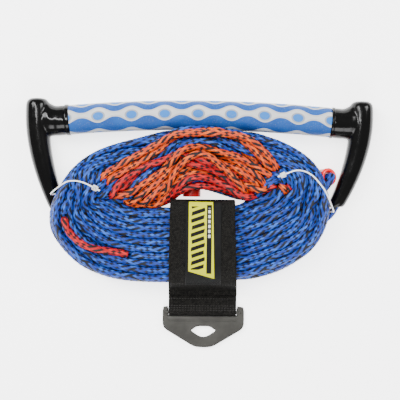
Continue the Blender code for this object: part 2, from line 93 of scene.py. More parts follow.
# Strap and hanger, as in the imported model
STRAP_X = (-28.0, 37.6)
WEB = 1.5
# Ways of the webbing, as y and z
STRAP_TAIL = ((-80.5, 2.85), (-88.0, 2.85), (-97.0, 2.9), (-101.5, 4.2))
STRAP_UNDER = ((-101.0, 0.95), (-90.0, 0.95), (-60.0, 0.95), (-30.0, 0.95), (-9.0, 0.95))
STRAP_RISE = ((-2.5, 2.8), (0.2, 8.0), (1.0, 16.0), (1.3, 24.0), (0.6, 30.0))
STRAP_TURNS = (70, 100, 135, 170, 205, 240, 265)
STRAP_LOOP = 1.9 + WEB / 2
STRAP_TOP = 35.6
FOLD = ((0.6, 30.0), (-0.3, 33.2), (-3.0, 35.3), (-7.0, 35.9), (-13.0, 36.3))
FLAP = ((-13.0, 36.3), (-20.0, 36.8), (-42.0, 37.0), (-60.0, 35.4), (-72.5, 29.8), (-79.2, 21.0),
        (-81.2, 13.2), (-84.0, 8.2), (-89.3, 6.9))
LABEL = ((0.9, 33.2), (-1.6, 35.6), (-7.0, 36.9), (-13.0, 37.35), (-20.0, 37.85), (-42.0, 38.05),
         (-60.6, 36.3), (-73.3, 30.5), (-78.6, 24.2))
FLAP_TOP_X = (-26.8, 34.4)
LABEL_X = (-12.1, 21.8)
LABEL_THICK = 0.7
LABEL_BARS = 6.6
LABEL_DASHES = 4.6
LABEL_BLACK = (0.002, 0.002, 0.002)
LABEL_YELLOW = (0.50, 0.50, 0.001)
LABEL_WHITE = (0.55, 0.55, 0.55)
HANGER_BAR = (-106.6, 3.3)
SLOT_X = (-29.2, 38.8)
LIP_Y = (-112.0, -109.5)
LIP_Z = (0.05, 1.0)
RAIL_Y = (-115.4, -111.1)
HANGER_X = (-33.4, 44.6)
HANGER_COLOURS = ((0.022, 0.021, 0.018), (0.034, 0.033, 0.029))
EAR_Y = (-109.0, -101.4)
EAR_Z = (0.1, 3.5)
WEB_Y = (-111.5, -103.0)
RAIL_Z = (2.6, 4.2)
STITCH_INSET = (2.0, 3.6)
STRAP_ROWS = (-93.5, -100.3, -102.4, -104.4)
FLAP_ROWS = (-77.6, -79.0)
STITCH_LONG = 2.0
STITCH_PITCH = 2.7
STITCH_THICK = 0.6
STRAP_MIDDLE = (STRAP_X[0] + STRAP_X[1]) / 2
WEAVE = 1.7
WEB_COLOURS = ((0.0015, 0.0015, 0.0015), (0.0200, 0.0190, 0.0170))

# Bar of the handle
GRIP_HALF = 126.0
GRIP_RADIUS = 14.05
GRIP_BORE = 9.9
GRIP_RINGS = (700, 140)
COLLAR_X = {"left": (-127.6, -123.5), "right": (127.9, 124.9)}
COLLAR_RADIUS = 14.9
LEG_X = 154.2
LEG_BEND_Y = 78.0
LEG_LEAN = {-1: 20.0, 1: 26.0}
LEG_TIP_Y = {-1: -9.0, 1: -4.0}
LEG_FOOT_Y = -9.0
LEG_Z = 14.2
LEG_DROP = 6.0
BAR_END_Y = 76.3
BAR_BOW = 5.8
BAR_Z = 14.3

# Chain of eyes on the grip
EYE_PITCH = 31.4
EYE_SHIFT = 1.3
EYE_SHAPE = 1.2
BAND_NECK = 2.5
BAND_EYE = 7.8
DOT = (4.7, 3.6)
DOT_LOW = 1.4
# Each chain: its angle round the grip, from the front towards the far side, and its shift.
EYE_ROWS = ((8.5, 0.0), (78, 0.5), (147, 0.0), (212, 0.5), (278, 0.0))
GRIP_BLUE = (0.003, 0.050, 0.23)
GRIP_BLUE_PALE = (0.007, 0.070, 0.28)
GRIP_DOT = (0.012, 0.135, 0.44)
GRIP_LIGHT = (0.50, 0.51, 0.52)
GRIP_LIGHT_SHADE = (0.44, 0.45, 0.46)
GRIP_LINE = (0.26, 0.25, 0.23)
GRIP_RIM = (0.23, 0.25, 0.28)

# Red sleeves
SLEEVE_RADIUS = 8.6
SLEEVE_BORE = 6.4
BRIDLE_SLEEVE_X = -6.8
BRIDLE_SLEEVE_Y = (4.4, 40.0)
BRIDLE_SLEEVE_Z = 9.2
LOOP_SLEEVE_MOUTH = (124.2, 24.8, 17.4)
LOOP_SLEEVE_AXIS = (0.45, 0.1, 0.89)
LOOP_SLEEVE_LENGTH = 14.0
LOOP_SLEEVE_BORE = 4.6
LOOP_STEPS = ((-1.6, -6.4, 6.8), (-6.4, -12.6, 4.6), (-11.0, -16.4, -0.4), (-14.4, -19.0, -6.6))

# Cable ties: the way over the hank from the head, and below it
TIE_WIDTH = 1.4
TIE_THICK = 0.9
TIE_OVER = {
    "left": ((-96.6, 11.5), (-109, 17), (-121, 17.6), (-131, 12)),
    "right": ((78.6, 25.5), (92, 30), (105, 26), (117, 13), (122.5, 3)),
}
TIE_UNDER = {
    "left": ((-139.2, 6, 27.5), (-136, 5.6, 21.8), (-127, 7, 20.6), (-116, 10, 12.6),
             (-108, 12.5, 3), (-100, 12, 1)),
    "right": ((127.4, -7.4, 25), (126.8, -8.2, 15), (120, -8, 9.6), (106, 2, 4), (93, 14, 1),
              (83, 22, 1)),
}

# The band of turns, station by station, anticlockwise from the strap: x and y of its inner edge,
# then of its outer edge, in the hank's frame.
BAND = (
    (35.0, -4.6, 36.0, -75.0), (43.0, -1.6, 55.0, -73.0), (51.0, 3.0, 77.0, -66.5),
    (60.0, 7.5, 98.0, -54.5), (67.0, 11.0, 116.0, -37.0), (71.0, 13.6, 124.5, -14.0),
    (71.5, 15.0, 125.4, 4.0), (69.5, 15.6, 120.0, 21.5), (66.0, 13.4, 110.0, 38.0),
    (60.0, 9.4, 92.0, 51.5), (52.0, 4.6, 73.0, 60.5), (42.0, 2.0, 52.0, 67.6),
    (25.8, 6.6, 30.0, 72.3), (3.0, 12.7, 4.0, 73.2), (-15.9, 8.6, -18.0, 71.8),
    (-31.0, -3.0, -40.0, 66.0), (-52.0, -5.4, -62.0, 59.7), (-68.0, -3.2, -84.3, 53.6),
    (-79.0, 0.2, -104.0, 43.6), (-87.0, 3.2, -120.0, 31.5), (-92.0, 4.5, -130.0, 17.5),
    (-94.0, 2.0, -137.0, 3.0), (-92.0, 0.6, -142.3, -13.0), (-87.5, -0.6, -143.0, -27.0),
    (-82.0, -1.4, -136.3, -38.5), (-74.0, -2.8, -124.0, -53.5), (-64.0, -4.8, -108.0, -64.8),
    (-52.0, -6.0, -82.0, -74.3), (-41.0, -6.8, -55.0, -77.2), (-29.0, -7.0, -29.4, -77.6),
    (3.0, -6.8, 3.0, -76.8),
)

# Runs of rope that lie on top of the upper band: a colour, how high each lies as a share of the
# band's height, and the points it passes.
TOP_RUNS = (
    ("orange", 1.25, (-98, 7), (-92, 14), (-87, 24), (-73, 33), (-55, 48), (-39, 60), (-27, 69),
     (-13, 70), (4, 69), (23, 70), (38, 69), (51, 61), (61, 51), (71, 40), (77, 30), (81, 22)),
    ("orange", 1.2, (-91, 5), (-86, 13), (-77, 24), (-64, 31), (-48, 43), (-33, 55), (-20, 63),
     (-7, 67), (8, 67), (27, 67), (42, 63), (54, 54), (63, 44), (72, 33), (76, 24)),
    ("blue", 1.15, (-81, 11), (-64, 26), (-47, 39), (-32, 52), (-17, 61), (1, 65), (20, 63),
     (37, 60), (48, 56), (65, 45), (80, 35)),
    ("orange", 1.0, (-39, 35), (-20, 50), (-1, 56), (18, 59), (37, 58), (48, 54), (57, 45),
     (67, 33), (73, 24)),
    ("blue", 1.1, (-77, 7), (-58, 22), (-39, 39), (-20, 49), (-3, 54), (14, 56), (33, 53),
     (48, 49), (59, 40), (71, 30)),
    ("orange", 1.15, (-87, -1), (-64, 11), (-39, 26), (-24, 39), (-9, 49), (8, 52), (27, 50),
     (44, 44), (57, 35), (68, 26), (73, 18)),
    ("orange", 1.1, (-74, -4), (-55, 5), (-36, 20), (-20, 35), (-5, 44), (12, 46), (29, 42),
     (44, 35), (57, 27), (67, 19), (71, 13)),
    ("orange", 1.05, (-66, -6), (-47, -1), (-30, 13), (-17, 28), (-1, 37), (14, 39), (29, 34),
     (44, 27), (57, 19), (67, 13)),
    ("red", 1.15, (-88, 2), (-78, 14), (-68, 27), (-53, 35), (-37, 40), (-22, 41), (-7, 40),
     (8, 34), (23, 26), (42, 16), (59, 9)),
    ("red", 1.05, (-80, 0), (-70, 13), (-56, 24), (-41, 33), (-26, 36), (-9, 34), (6, 31),
     (23, 24), (42, 14), (59, 7)),
    ("orange", 1.0, (-47, -6), (-32, 2), (-20, 16), (-7, 24), (8, 25), (25, 20), (42, 14), (57, 7),
     (63, 4)),
    ("red", 1.15, (-37, -7), (-24, 7), (-13, 15), (2, 19), (18, 17), (33, 12), (48, 6), (57, 2)),
    ("red", 1.05, (-32, -8), (-22, 0), (-11, 9), (2, 13), (18, 11), (35, 5), (50, 1)),
    ("blue", 1.0, (-91, 30), (-68, 45), (-47, 57), (-30, 65), (-9, 70), (37, 70), (59, 65),
     (78, 56), (95, 46), (107, 34), (114, 22)),
    ("orange", 1.45, (-39, -1), (-32, 14), (-24, 28), (-17, 39), (-5, 45), (8, 42), (20, 33),
     (37, 19), (56, 9)),
)

# Turns of the rope that take those runs, in their order
TOP_TURNS = {"orange": (7, 8, 6, 9, 5, 4, 3, 2), "red": (11, 12, 14, 15), "blue": (33, 34, 32)}

# The spliced red stretch of one blue turn, which lies on top at the left.
SPLICE = ((-143, -16), (-142, -22), (-134, -31), (-120, -41), (-100, -49), (-81, -52), (-59, -50),
          (-40, -50))
SPLICE_END_X = -60
SPLICE_TOP_Y = -14
SPLICE_TURN = 35

# The turns at which each colour of the main line starts
COLOUR_TURNS = ((0, "orange"), (10, "red"), (16, "blue"), (25, "blue"), (34, "blue"))
ROPE_COLOURS = {
    "blue": ((0.003, 0.030, 0.26), (0.022, 0.115, 0.50)),
    "orange": ((0.50, 0.040, 0.0), (0.72, 0.105, 0.0)),
    "red": ((0.38, 0.001, 0.004), (0.55, 0.010, 0.012)),
}


def place(x, y, z):
    """A point of the hank's frame, in the object's frame."""
    return Vector((x * MM, (y + FRAME_Y) * MM, z * MM))


def link(name, mesh, paint, body=None, stands_for=None):
    """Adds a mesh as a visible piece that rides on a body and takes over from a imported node."""
    piece = bpy.data.objects.new(name, mesh)
    bpy.context.scene.collection.objects.link(piece)
    mesh.materials.append(paint)
    if body:
        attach(piece, body)
    if stands_for:
        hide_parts(stands_for)
    return piece


# ---------------------------------------------------------------- camera, light, floor


def camera():
    data = bpy.data.cameras.new("camera")
    data.lens = LENS
    data.sensor_width = 36.0
    piece = bpy.data.objects.new("camera", data)
    bpy.context.scene.collection.objects.link(piece)
    piece.location = CAMERA_AT
    piece.rotation_euler = (0.0, 0.0, math.radians(CAMERA_ROLL))
    data.clip_start = 0.01
    bpy.context.scene.camera = piece


def area_light(name, at, target, size, power):
    data = bpy.data.lights.new(name, "AREA")
    data.shape = "RECTANGLE"
    data.size, data.size_y = size
    data.energy = power
    piece = bpy.data.objects.new(name, data)
    bpy.context.scene.collection.objects.link(piece)
    piece.location = at
    piece.rotation_euler = (Vector(target) - Vector(at)).to_track_quat("-Z", "Y").to_euler()


def studio():
    world = bpy.data.worlds.new("studio")
    bpy.context.scene.world = world
    world.use_nodes = True
    back = world.node_tree.nodes["Background"]
    back.inputs["Color"].default_value = (1.0, 1.0, 1.0, 1.0)
    back.inputs["Strength"].default_value = 0.42
    area_light("key", (-0.9, 0.75, 1.15), (0, 0, 0), (0.7, 0.7), 34.0)
    area_light("strip", (-0.34, 0.30, 1.25), (-0.1, 0.05, 0), (0.16, 0.8), 16.0)
    area_light("rim", (0.95, 0.6, 0.9), (0, 0, 0), (0.5, 0.7), 20.0)
    area_light("fill", (0.1, -1.1, 1.0), (0, 0, 0), (1.1, 0.6), 22.0)
    half = FLOOR_HALF
    corners = [(-half, -half, 0), (half, -half, 0), (half, half, 0), (-half, half, 0)]
    floor = bpy.data.meshes.new("floor")
    floor.from_pydata(corners, [], [(0, 1, 2, 3)])
    paint, s = principled("floor", (0.93, 0.93, 0.93), 0.9)
    s.give("Emission Color", (1.0, 1.0, 1.0, 1.0))
    s.give("Emission Strength", FLOOR_GLOW)
    piece = link("floor", floor, paint)
    piece.location.z = FLOOR_Z


# ---------------------------------------------------------------- materials


def principled(name, colour, roughness, metallic=0.0, specular=0.5):
    """A new material and the tool that adds nodes to it."""
    paint = bpy.data.materials.new(name)
    paint.use_nodes = True
    s = Sums(paint.node_tree)
    s.give("Base Color", (*colour, 1.0))
    s.give("Roughness", roughness)
    s.give("Metallic", metallic)
    s.give("Specular IOR Level", specular)
    return paint, s


class Sums:
    """Short ways to add the nodes of one material and to give the results to its shader."""

    def __init__(self, tree):
        self.tree = tree
        self.shader = tree.nodes["Principled BSDF"]

    def put(self, socket, value):
        if isinstance(value, bpy.types.NodeSocket):
            self.tree.links.new(value, socket)
        else:
            socket.default_value = value

    def give(self, name, value):
        self.put(self.shader.inputs[name], value)

    def node(self, kind, **inputs):
        node = self.tree.nodes.new("ShaderNode" + kind)
        for name, value in inputs.items():
            self.put(node.inputs[name.replace("_", " ")], value)
        return node

    def math(self, operation, a, b=0.0, c=0.0):
        node = self.node("Math")
        node.operation = operation
        for socket, value in zip(node.inputs, (a, b, c)):
            self.put(socket, value)
        return node.outputs[0]

    def add(self, a, b):
        return self.math("ADD", a, b)

    def less(self, a, b):
        return self.math("SUBTRACT", a, b)

    def times(self, a, *others):
        for b in others:
            a = self.math("MULTIPLY", a, b)
        return a

    def off_centre(self, value):
        """Distance of a fraction from one half."""
        return self.math("ABSOLUTE", self.less(value, 0.5))

    def mix(self, share, a, b):
        node = self.node("Mix")
        node.data_type = "RGBA"
        self.put(node.inputs["Factor"], share)
        for socket, value in ((node.inputs["A"], a), (node.inputs["B"], b)):
            plain = not isinstance(value, bpy.types.NodeSocket)
            self.put(socket, (*value, 1.0) if plain else value)
        return node.outputs["Result"]

    def step(self, value, low, high, to=(0.0, 1.0)):
        node = self.node("MapRange", Value=value, From_Min=low, From_Max=high, To_Min=to[0],
                         To_Max=to[1])
        node.interpolation_type = "SMOOTHSTEP"
        return node.outputs["Result"]

    def window(self, value, low, high, soft):
        """1 from low to high, with an edge as wide as soft after each."""
        fall = self.step(value, high, high + soft, (1.0, 0.0))
        return self.times(self.step(value, low, low + soft), fall)

    def uv(self):
        split = self.node("SeparateXYZ", Vector=self.node("UVMap").outputs["UV"])
        return split.outputs["X"], split.outputs["Y"]

    def noise(self, scale, detail=2.0, rough=0.5):
        place = self.node("TexCoord").outputs["Object"]
        node = self.node("TexNoise", Vector=place, Scale=scale, Detail=detail, Roughness=rough)
        return node.outputs["Fac"]

    def white(self, x, y):
        both = self.node("CombineXYZ", X=x, Y=y, Z=0.0).outputs[0]
        node = self.node("TexWhiteNoise")
        node.noise_dimensions = "2D"
        self.put(node.inputs["Vector"], both)
        return node.outputs["Value"]

    def bump(self, height, distance, strength=1.0):
        node = self.node("Bump", Strength=strength, Distance=distance, Height=height)
        self.give("Normal", node.outputs["Normal"])


def braid_paint(name, colour, pale):
    """A hollow braid: two families of eight flat yarns, some of them black tracers, with painted
    shade darkening the edges of each yarn.
    """
    paint, s = principled(name, colour, 0.42, specular=0.25)
    along, around = s.uv()
    a, b = s.add(along, around), s.less(along, around)
    cell_a, cell_b = s.math("FLOOR", a), s.math("FLOOR", b)
    over = s.math("FLOORED_MODULO", s.add(cell_a, cell_b), 2.0)
    yarn_a = s.math("FLOORED_MODULO", cell_b, float(YARNS))
    yarn_b = s.math("FLOORED_MODULO", cell_a, float(YARNS))
    black = 0.0
    families = ((yarn_a, s.math("LESS_THAN", over, 0.5)), (yarn_b, over))
    for (yarn, cell), chosen in zip(families, TRACERS):
        for tracer in chosen:
            near = s.math("COMPARE", yarn, float(tracer), 0.3)
            black = s.math("MAXIMUM", black, s.times(near, cell))
    inside_a, inside_b = s.math("FRACT", a), s.math("FRACT", b)
    across = s.add(s.times(over, inside_a), s.times(s.less(1.0, over), inside_b))
    thread = s.math("SINE", s.times(across, THREADS_TURN))
    shade = s.white(cell_a, cell_b)
    streak = s.step(s.add(shade, s.times(thread, 0.14)), 0.5, 0.95)
    final = s.mix(black, s.mix(streak, colour, pale), TRACER_AND_GAP_SHADE_BLACK)
    # painted shade: towards the edges of each yarn, where it meets its neighbours, the colour is
    # drawn towards black
    edge = s.off_centre(across)
    painted_gap_shade = s.step(edge, 0.34, 0.5, (0.0, 0.72))
    s.give("Base Color", s.mix(painted_gap_shade, final, TRACER_AND_GAP_SHADE_BLACK))
    s.bump(s.less(s.times(thread, 0.12), s.times(edge, 1.4)), 0.0004, 0.8)
    s.give("Roughness", s.step(shade, 0.0, 1.0, (0.36, 0.55)))
    return paint


# ---------------------------------------------------------------- lines and tubes


def unit(vectors):
    return vectors / np.linalg.norm(vectors, axis=-1, keepdims=True)


def ease(t):
    return t * t * (3 - 2 * t)


def softened(ring):
    """The values of a closed ring, each drawn halfway to its neighbours."""
    return 0.5 * ring + 0.25 * (np.roll(ring, 1, axis=0) + np.roll(ring, -1, axis=0))


def smooth(points, count):
    """count points on each stretch of a smooth curve, from the second point to the last but one."""
    t = np.linspace(0, 1, count, endpoint=False)[:, None]
    return np.vstack([
        0.5 * (2 * b + (c - a) * t + (2 * a - 5 * b + 4 * c - d) * t**2
               + (3 * b - a - 3 * c + d) * t**3)
        for a, b, c, d in zip(points, points[1:], points[2:], points[3:])
    ])


def curve_through(points, count):
    """count points, evenly spaced, on a smooth open curve through the points."""
    p = np.array([tuple(q) for q in points], float)
    ends = np.vstack([2 * p[0] - p[1], p, 2 * p[-1] - p[-2]])
    return spaced(np.vstack([smooth(ends, 24), p[-1:]]), count)


def way_along(line):
    """Distance of each point from the first, along the line."""
    steps = np.linalg.norm(np.diff(line, axis=0), axis=1)
    return np.concatenate([[0.0], np.cumsum(steps)])


def spaced(line, count):
    """count points, evenly spaced along a line of close points."""
    way = way_along(line)
    at = np.linspace(0, way[-1], count)
    return np.stack([np.interp(at, way, line[:, i]) for i in range(line.shape[1])], axis=1)


def length_of(line):
    return float(np.linalg.norm(np.diff(line, axis=0), axis=1).sum())


def frames_along(line):
    """Two directions across the line at each point, carried along without twist."""
    tangents = unit(np.gradient(line, axis=0))
    side = np.cross(tangents[0], (0.0, 0.0, 1.0))
    if np.linalg.norm(side) < 1e-3:
        side = np.cross(tangents[0], (0.0, 1.0, 0.0))
    sides = np.empty_like(line)
    for i, t in enumerate(tangents):
        side = unit(side - t * side.dot(t))
        sides[i] = side
    return sides, np.cross(tangents, sides)


def new_mesh(name, points, faces):
    """A mesh from points in millimetres."""
    mesh = bpy.data.meshes.new(name)
    mesh.from_pydata((np.reshape(points, (-1, 3)) * MM).tolist(), [], faces)
    return mesh


def set_uv(mesh, uv):
    mesh.uv_layers.new(name="UVMap").data.foreach_set("uv", uv.ravel())


def corners_of(mesh):
    """The vertex of each corner of each face."""
    index = np.empty(len(mesh.loops), np.int64)
    mesh.loops.foreach_get("vertex_index", index)
    return index


def places_of(mesh):
    places = np.empty(len(mesh.vertices) * 3)
    mesh.vertices.foreach_get("co", places)
    return places.reshape(-1, 3)


def from_work(name, work):
    """A smooth mesh from a bmesh, which is freed."""
    mesh = bpy.data.meshes.new(name)
    work.to_mesh(mesh)
    work.free()
    mesh.shade_smooth()
    return mesh


def tube_mesh(name, line, radii):
    """A closed tube on a line. radii is (rings, sides). Its UV counts cells of the braid."""
    rings, sides = radii.shape
    one, two = frames_along(line)
    angle = np.linspace(0, 2 * np.pi, sides, endpoint=False)
    points = (
        line[:, None, :]
        + one[:, None, :] * (np.cos(angle) * radii)[:, :, None]
        + two[:, None, :] * (np.sin(angle) * radii)[:, :, None]
    )
    ring = np.arange(rings - 1)[:, None]
    j = np.arange(sides)[None, :]
    base, after = ring * sides, (j + 1) % sides
    quads = np.stack([base + j, base + after, base + sides + after, base + sides + j], axis=-1)
    faces = quads.reshape(-1, 4).tolist()
    faces += [list(range(sides))[::-1], list(range((rings - 1) * sides, rings * sides))]
    mesh = new_mesh(name, points, faces)
    ring, j = np.broadcast_arrays(ring, j)
    corners = [
        np.stack([(ring + a) * (BRAID_STEP / BRAID_CELL), (j + b) * YARNS / sides], axis=-1)
        for a, b in ((0, 0), (0, 1), (1, 1), (1, 0))
    ]
    flat = np.stack(corners, axis=2).reshape(-1, 2)
    full = np.zeros((len(mesh.loops), 2))
    full[: len(flat)] = flat
    set_uv(mesh, full)
    mesh.shade_smooth()
    mesh.validate()
    return mesh


def braid_mesh(name, line):
    """A braided rope on a line, with a raised diamond for each crossing of its yarns."""
    rings = max(4, int(round(length_of(line) / BRAID_STEP)))
    line = spaced(line, rings)
    m = np.arange(rings)[:, None]
    j = np.arange(BRAID_SIDES)[None, :]
    a = m * BRAID_STEP / BRAID_CELL + j / 2
    b = m * BRAID_STEP / BRAID_CELL - j / 2
    high = np.abs(np.sin(np.pi * a) * np.sin(np.pi * b)) ** 0.6 * 2 - 1
    radii = ROPE / 2 - BRAID_RELIEF + BRAID_RELIEF * high
    taper = np.clip(np.minimum(m, rings - 1 - m) / 2.0, 0.0, 1.0)
    return tube_mesh(name, line, radii * (0.72 + 0.28 * np.sqrt(taper))), line


def rope(name, line, paint, body, stands_for):
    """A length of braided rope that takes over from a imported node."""
    mesh, path = braid_mesh(name, line)
    piece = link(name, mesh, paint, body, stands_for)
    length_of(path) * MM
    return piece


# ---------------------------------------------------------------- the hank of rope


def stations():
    """Inner edge, unit direction outwards and width of the band at each station."""
    edges = []
    for points in np.hsplit(np.array(BAND, float), 2):
        ring = np.vstack([points[-1:], points, points[:3]])
        edges.append(smooth(ring, 12)[: 12 * len(points)])
    middle = 0.5 * (edges[0] + edges[1])
    way = way_along(np.vstack([middle, middle[:1]]))
    at = np.linspace(0, way[-1], STATIONS, endpoint=False)
    for n, edge in enumerate(edges):
        ring = np.vstack([edge, edge[:1]])
        edge = np.stack([np.interp(at, way, ring[:, i]) for i in (0, 1)], axis=1)
        for _ in range(4):
            edge = softened(edge)
        edges[n] = edge
    inner, outer = edges
    width = np.linalg.norm(outer - inner, axis=1)
    return inner, (outer - inner) / width[:, None], width


def leg_obstacle(x, y):
    """Middle, half width and half height of a cap's leg at a place along Y."""
    side = np.sign(x)
    tip = np.where(side < 0, LEG_TIP_Y[-1], LEG_TIP_Y[1])
    lean = np.where(side < 0, LEG_LEAN[-1], LEG_LEAN[1])
    t = np.clip((LEG_BEND_Y - y) / (LEG_BEND_Y - LEG_FOOT_Y), 0.0, 1.1)
    middle = side * (LEG_X - lean * t**1.85)
    return middle, 11.0 - 3.2 * t**1.6, LEG_Z - LEG_DROP * t**1.2, y > tip - 5.0


def layer_targets():
    """Cells of the lower band, as shares of its width and height, in the order they are wound."""
    rows = [[((i + 0.5) / n, (level + 0.5) / 4) for i in range(n)]
            for level, n in enumerate(LAYERS)]
    buried = rows[0][:8] + rows[1][7::-1]
    edge = rows[1][:7:-1] + rows[0][8:]
    return np.array(buried + rows[2] + edge + rows[3][::-1])


def run_along(points, inner, out, width, upper):
    """Where a run crosses the upper or lower stations: its share of the width, and how firmly."""
    fine = curve_through(points, 200)
    share, firm = np.zeros(STATIONS), np.zeros(STATIONS)
    middle = inner[:, 1] + out[:, 1] * width / 2
    for k in range(STATIONS):
        if (middle[k] > 3.0) != upper:
            continue
        rel = fine - inner[k]
        off = np.abs(rel[:, 0] * out[k, 1] - rel[:, 1] * out[k, 0])
        near = int(np.argmin(off + np.where(rel @ out[k] < -9, 99, 0)))
        if off[near] < 3.0:
            share[k] = np.clip(rel[near] @ out[k] / width[k], 0.03, 0.98)
            fade = np.clip(min(near, 199 - near) / 22.0, 0, 1)
            firm[k] = ease(fade)
    return share, firm


def hank_centrelines():
    """The rope's turns, packed side by side and laid on each other under their own weight."""
    rng = np.random.default_rng(SEED)
    inner, out, width = stations()
    K, N = STATIONS, TURNS
    low = layer_targets()
    middle = inner + out * width[:, None] * 0.5
    angle = np.degrees(np.arctan2(middle[:, 1] - 4.0, (middle[:, 0] + 8.0) * 0.5)) % 360.0
    # share of the upper band's order, 0 in the lower band and 1 in the upper one
    arch = ease(np.clip(np.minimum((angle - 4.0) / 30.0, (176.0 - angle) / 30.0), 0.0, 1.0))
    narrow = np.clip(1 - (width - 46.0) / 16.0, 0, 1)
    height = HANK_HEIGHT + ARCH_RISE * arch + NARROW_RISE * narrow

    # upper band: the turns of TOP_RUNS on top, the others filled in under them
    free = {colour: iter(turns) for colour, turns in TOP_TURNS.items()}
    runs = {next(free[colour]): (level, points) for colour, level, *points in TOP_RUNS}
    others = sorted((i for i in range(N) if i not in runs), key=lambda i: tuple(low[i, ::-1]))
    high = np.zeros((N, 2))
    for n, i in enumerate(others):
        level, cell = divmod(n, UPPER_LEVEL)
        high[i] = ((cell + 0.5 + 0.25 * (level % 2)) / UPPER_LEVEL, (level + 0.5) / 5.0)

    u, v, firm = np.zeros((N, K)), np.zeros((N, K)), np.zeros((N, K))
    wander = rng.normal(0, 1, (N, 7, 2))
    way = np.linspace(0, 1, K, endpoint=False)
    for i in range(N):
        drift = sum(
            0.014 / (1 + 0.35 * m)
            * np.sin(2 * np.pi * ((m + 2) * way + wander[i, m, 1])) * wander[i, m, 0]
            for m in range(7)
        )
        u[i] = low[i, 0] * (1 - arch) + high[i, 0] * arch + drift
        v[i] = low[i, 1] * (1 - arch) + high[i, 1] * arch
        wanted = [(*runs[i], True)] if i in runs else []
        if i == SPLICE_TURN:
            wanted.append((1.15, SPLICE, False))
        for level, points, upper in wanted:
            share, hold = run_along(points, inner, out, width, upper)
            for row, to in ((u, share), (v, level)):
                row[i] = to * hold + row[i] * (1 - hold)
            firm[i] = np.maximum(firm[i], hold)
        for _ in range(4):
            for row in (u, v, firm):
                row[i] = softened(row[i])
    # under the strap each turn moves over to where the next one starts
    t = ease(np.linspace(0, 1, SEAM))
    for i in range(N - 1):
        for axis, row in enumerate((u, v)):
            row[i, -SEAM:] = row[i, -SEAM:] * (1 - t) + low[i + 1, axis] * t

    radius = ROPE / 2
    target = np.stack([radius + u * (width - ROPE), radius + v * (height - ROPE)], axis=-1)
    P = target + rng.normal(0, 0.3, target.shape)
    pairs = np.triu_indices(N, 1)
    rounds = PACKING_ROUNDS
    for step in range(rounds):
        share = step / rounds
        pull = 0.10 * (1 - share) ** 1.5 + 0.004
        P += pull * (target - P)
        P[..., 0] += 0.10 * (1 - share) * firm * (target - P)[..., 0]
        P[..., 1] -= FALL * (1 - 0.5 * share)
        line = P.reshape(N * K, 2)
        for _ in range(2):
            line[1:-1] += EVEN * (0.5 * (line[:-2] + line[2:]) - line[1:-1])
        P = line.reshape(N, K, 2)
        for _ in range(3):
            first, second = P[pairs[0]], P[pairs[1]]
            gap = second - first
            reach = np.sqrt((gap**2).sum(-1)) + 1e-6
            push = np.clip(GAP - reach, 0, None) / reach * 0.5
            shove = gap * push[..., None] * SHOVE
            moved = np.zeros_like(P)
            np.add.at(moved, pairs[0], -shove)
            np.add.at(moved, pairs[1], shove)
            P = P + moved
            P = hold_in(P, inner, out, width, height, radius)
    x = inner[None, :, 0] + out[None, :, 0] * P[..., 0]
    y = inner[None, :, 1] + out[None, :, 1] * P[..., 0]
    return np.stack([x, y, P[..., 1]], axis=-1).reshape(N * K, 3)


def hold_in(P, inner, out, width, height, radius):
    """Keeps the turns inside the band, off the floor and clear of the handle and the strap."""
    r, z = P[..., 0], P[..., 1]
    x_in = inner[:, 0]
    top = np.clip((z - 0.45 * height) / (0.75 * height), 0, 1) ** 2
    foot = np.clip(1 - z / (0.32 * height), 0, 1) ** 2
    near = radius - np.where((x_in > -36) & (x_in < 46), 1.2, 2.1)
    far = width - radius - 9.0 * top - 4.0 * foot
    r = np.clip(r, near, far)
    x = inner[:, 0] + out[:, 0] * r
    y = inner[:, 1] + out[:, 1] * r
    under_strap = (x > STRAP_X[0] - 4) & (x < STRAP_X[1] + 4) & (y < 0)
    z = np.maximum(z, np.where(under_strap, radius + 2.4, radius + 0.1))
    z = np.where(under_strap, np.minimum(z, STRAP_TOP - radius - WEB), z)
    # the sleeve on the bridle lies under the upper band
    over = BRIDLE_SLEEVE_Z + SLEEVE_RADIUS + radius - 1.0
    rise = over * np.exp(-(((x - BRIDLE_SLEEVE_X) / 17.0) ** 4))
    z = np.where((y > 2) & (y < BRIDLE_SLEEVE_Y[1] + radius), np.maximum(z, rise), z)
    # the grip, a bowed bar along X
    bar_y = BAR_END_Y + BAR_BOW * (1 - (x / GRIP_HALF) ** 2)
    room = GRIP_RADIUS + radius + 0.5
    dy, dz = y - bar_y, z - BAR_Z
    far = np.sqrt(dy**2 + dz**2) + 1e-6
    push = np.where(np.abs(x) < 130, np.clip(room - far, 0, None), 0)
    r = r + push * dy / far * np.clip(out[:, 1], 0, 1)
    z = z + push * dz / far * 0.8
    # the caps' legs, whose tips lie under the ends of the hank
    middle, half_x, half_z, along = leg_obstacle(x, y)
    ex, ez = (x - middle) / (half_x + radius + 1.2), (z - half_z) / (half_z + radius + 0.6)
    size = np.sqrt(ex**2 + ez**2) + 1e-6
    inside = along & (size < 1)
    lift = np.where(inside, (np.sqrt(np.clip(1 - ex**2, 0, None)) - ez) * (half_z + radius), 0)
    z = z + 0.5 * np.clip(lift, 0, 4)
    return np.stack([r, z], axis=-1)


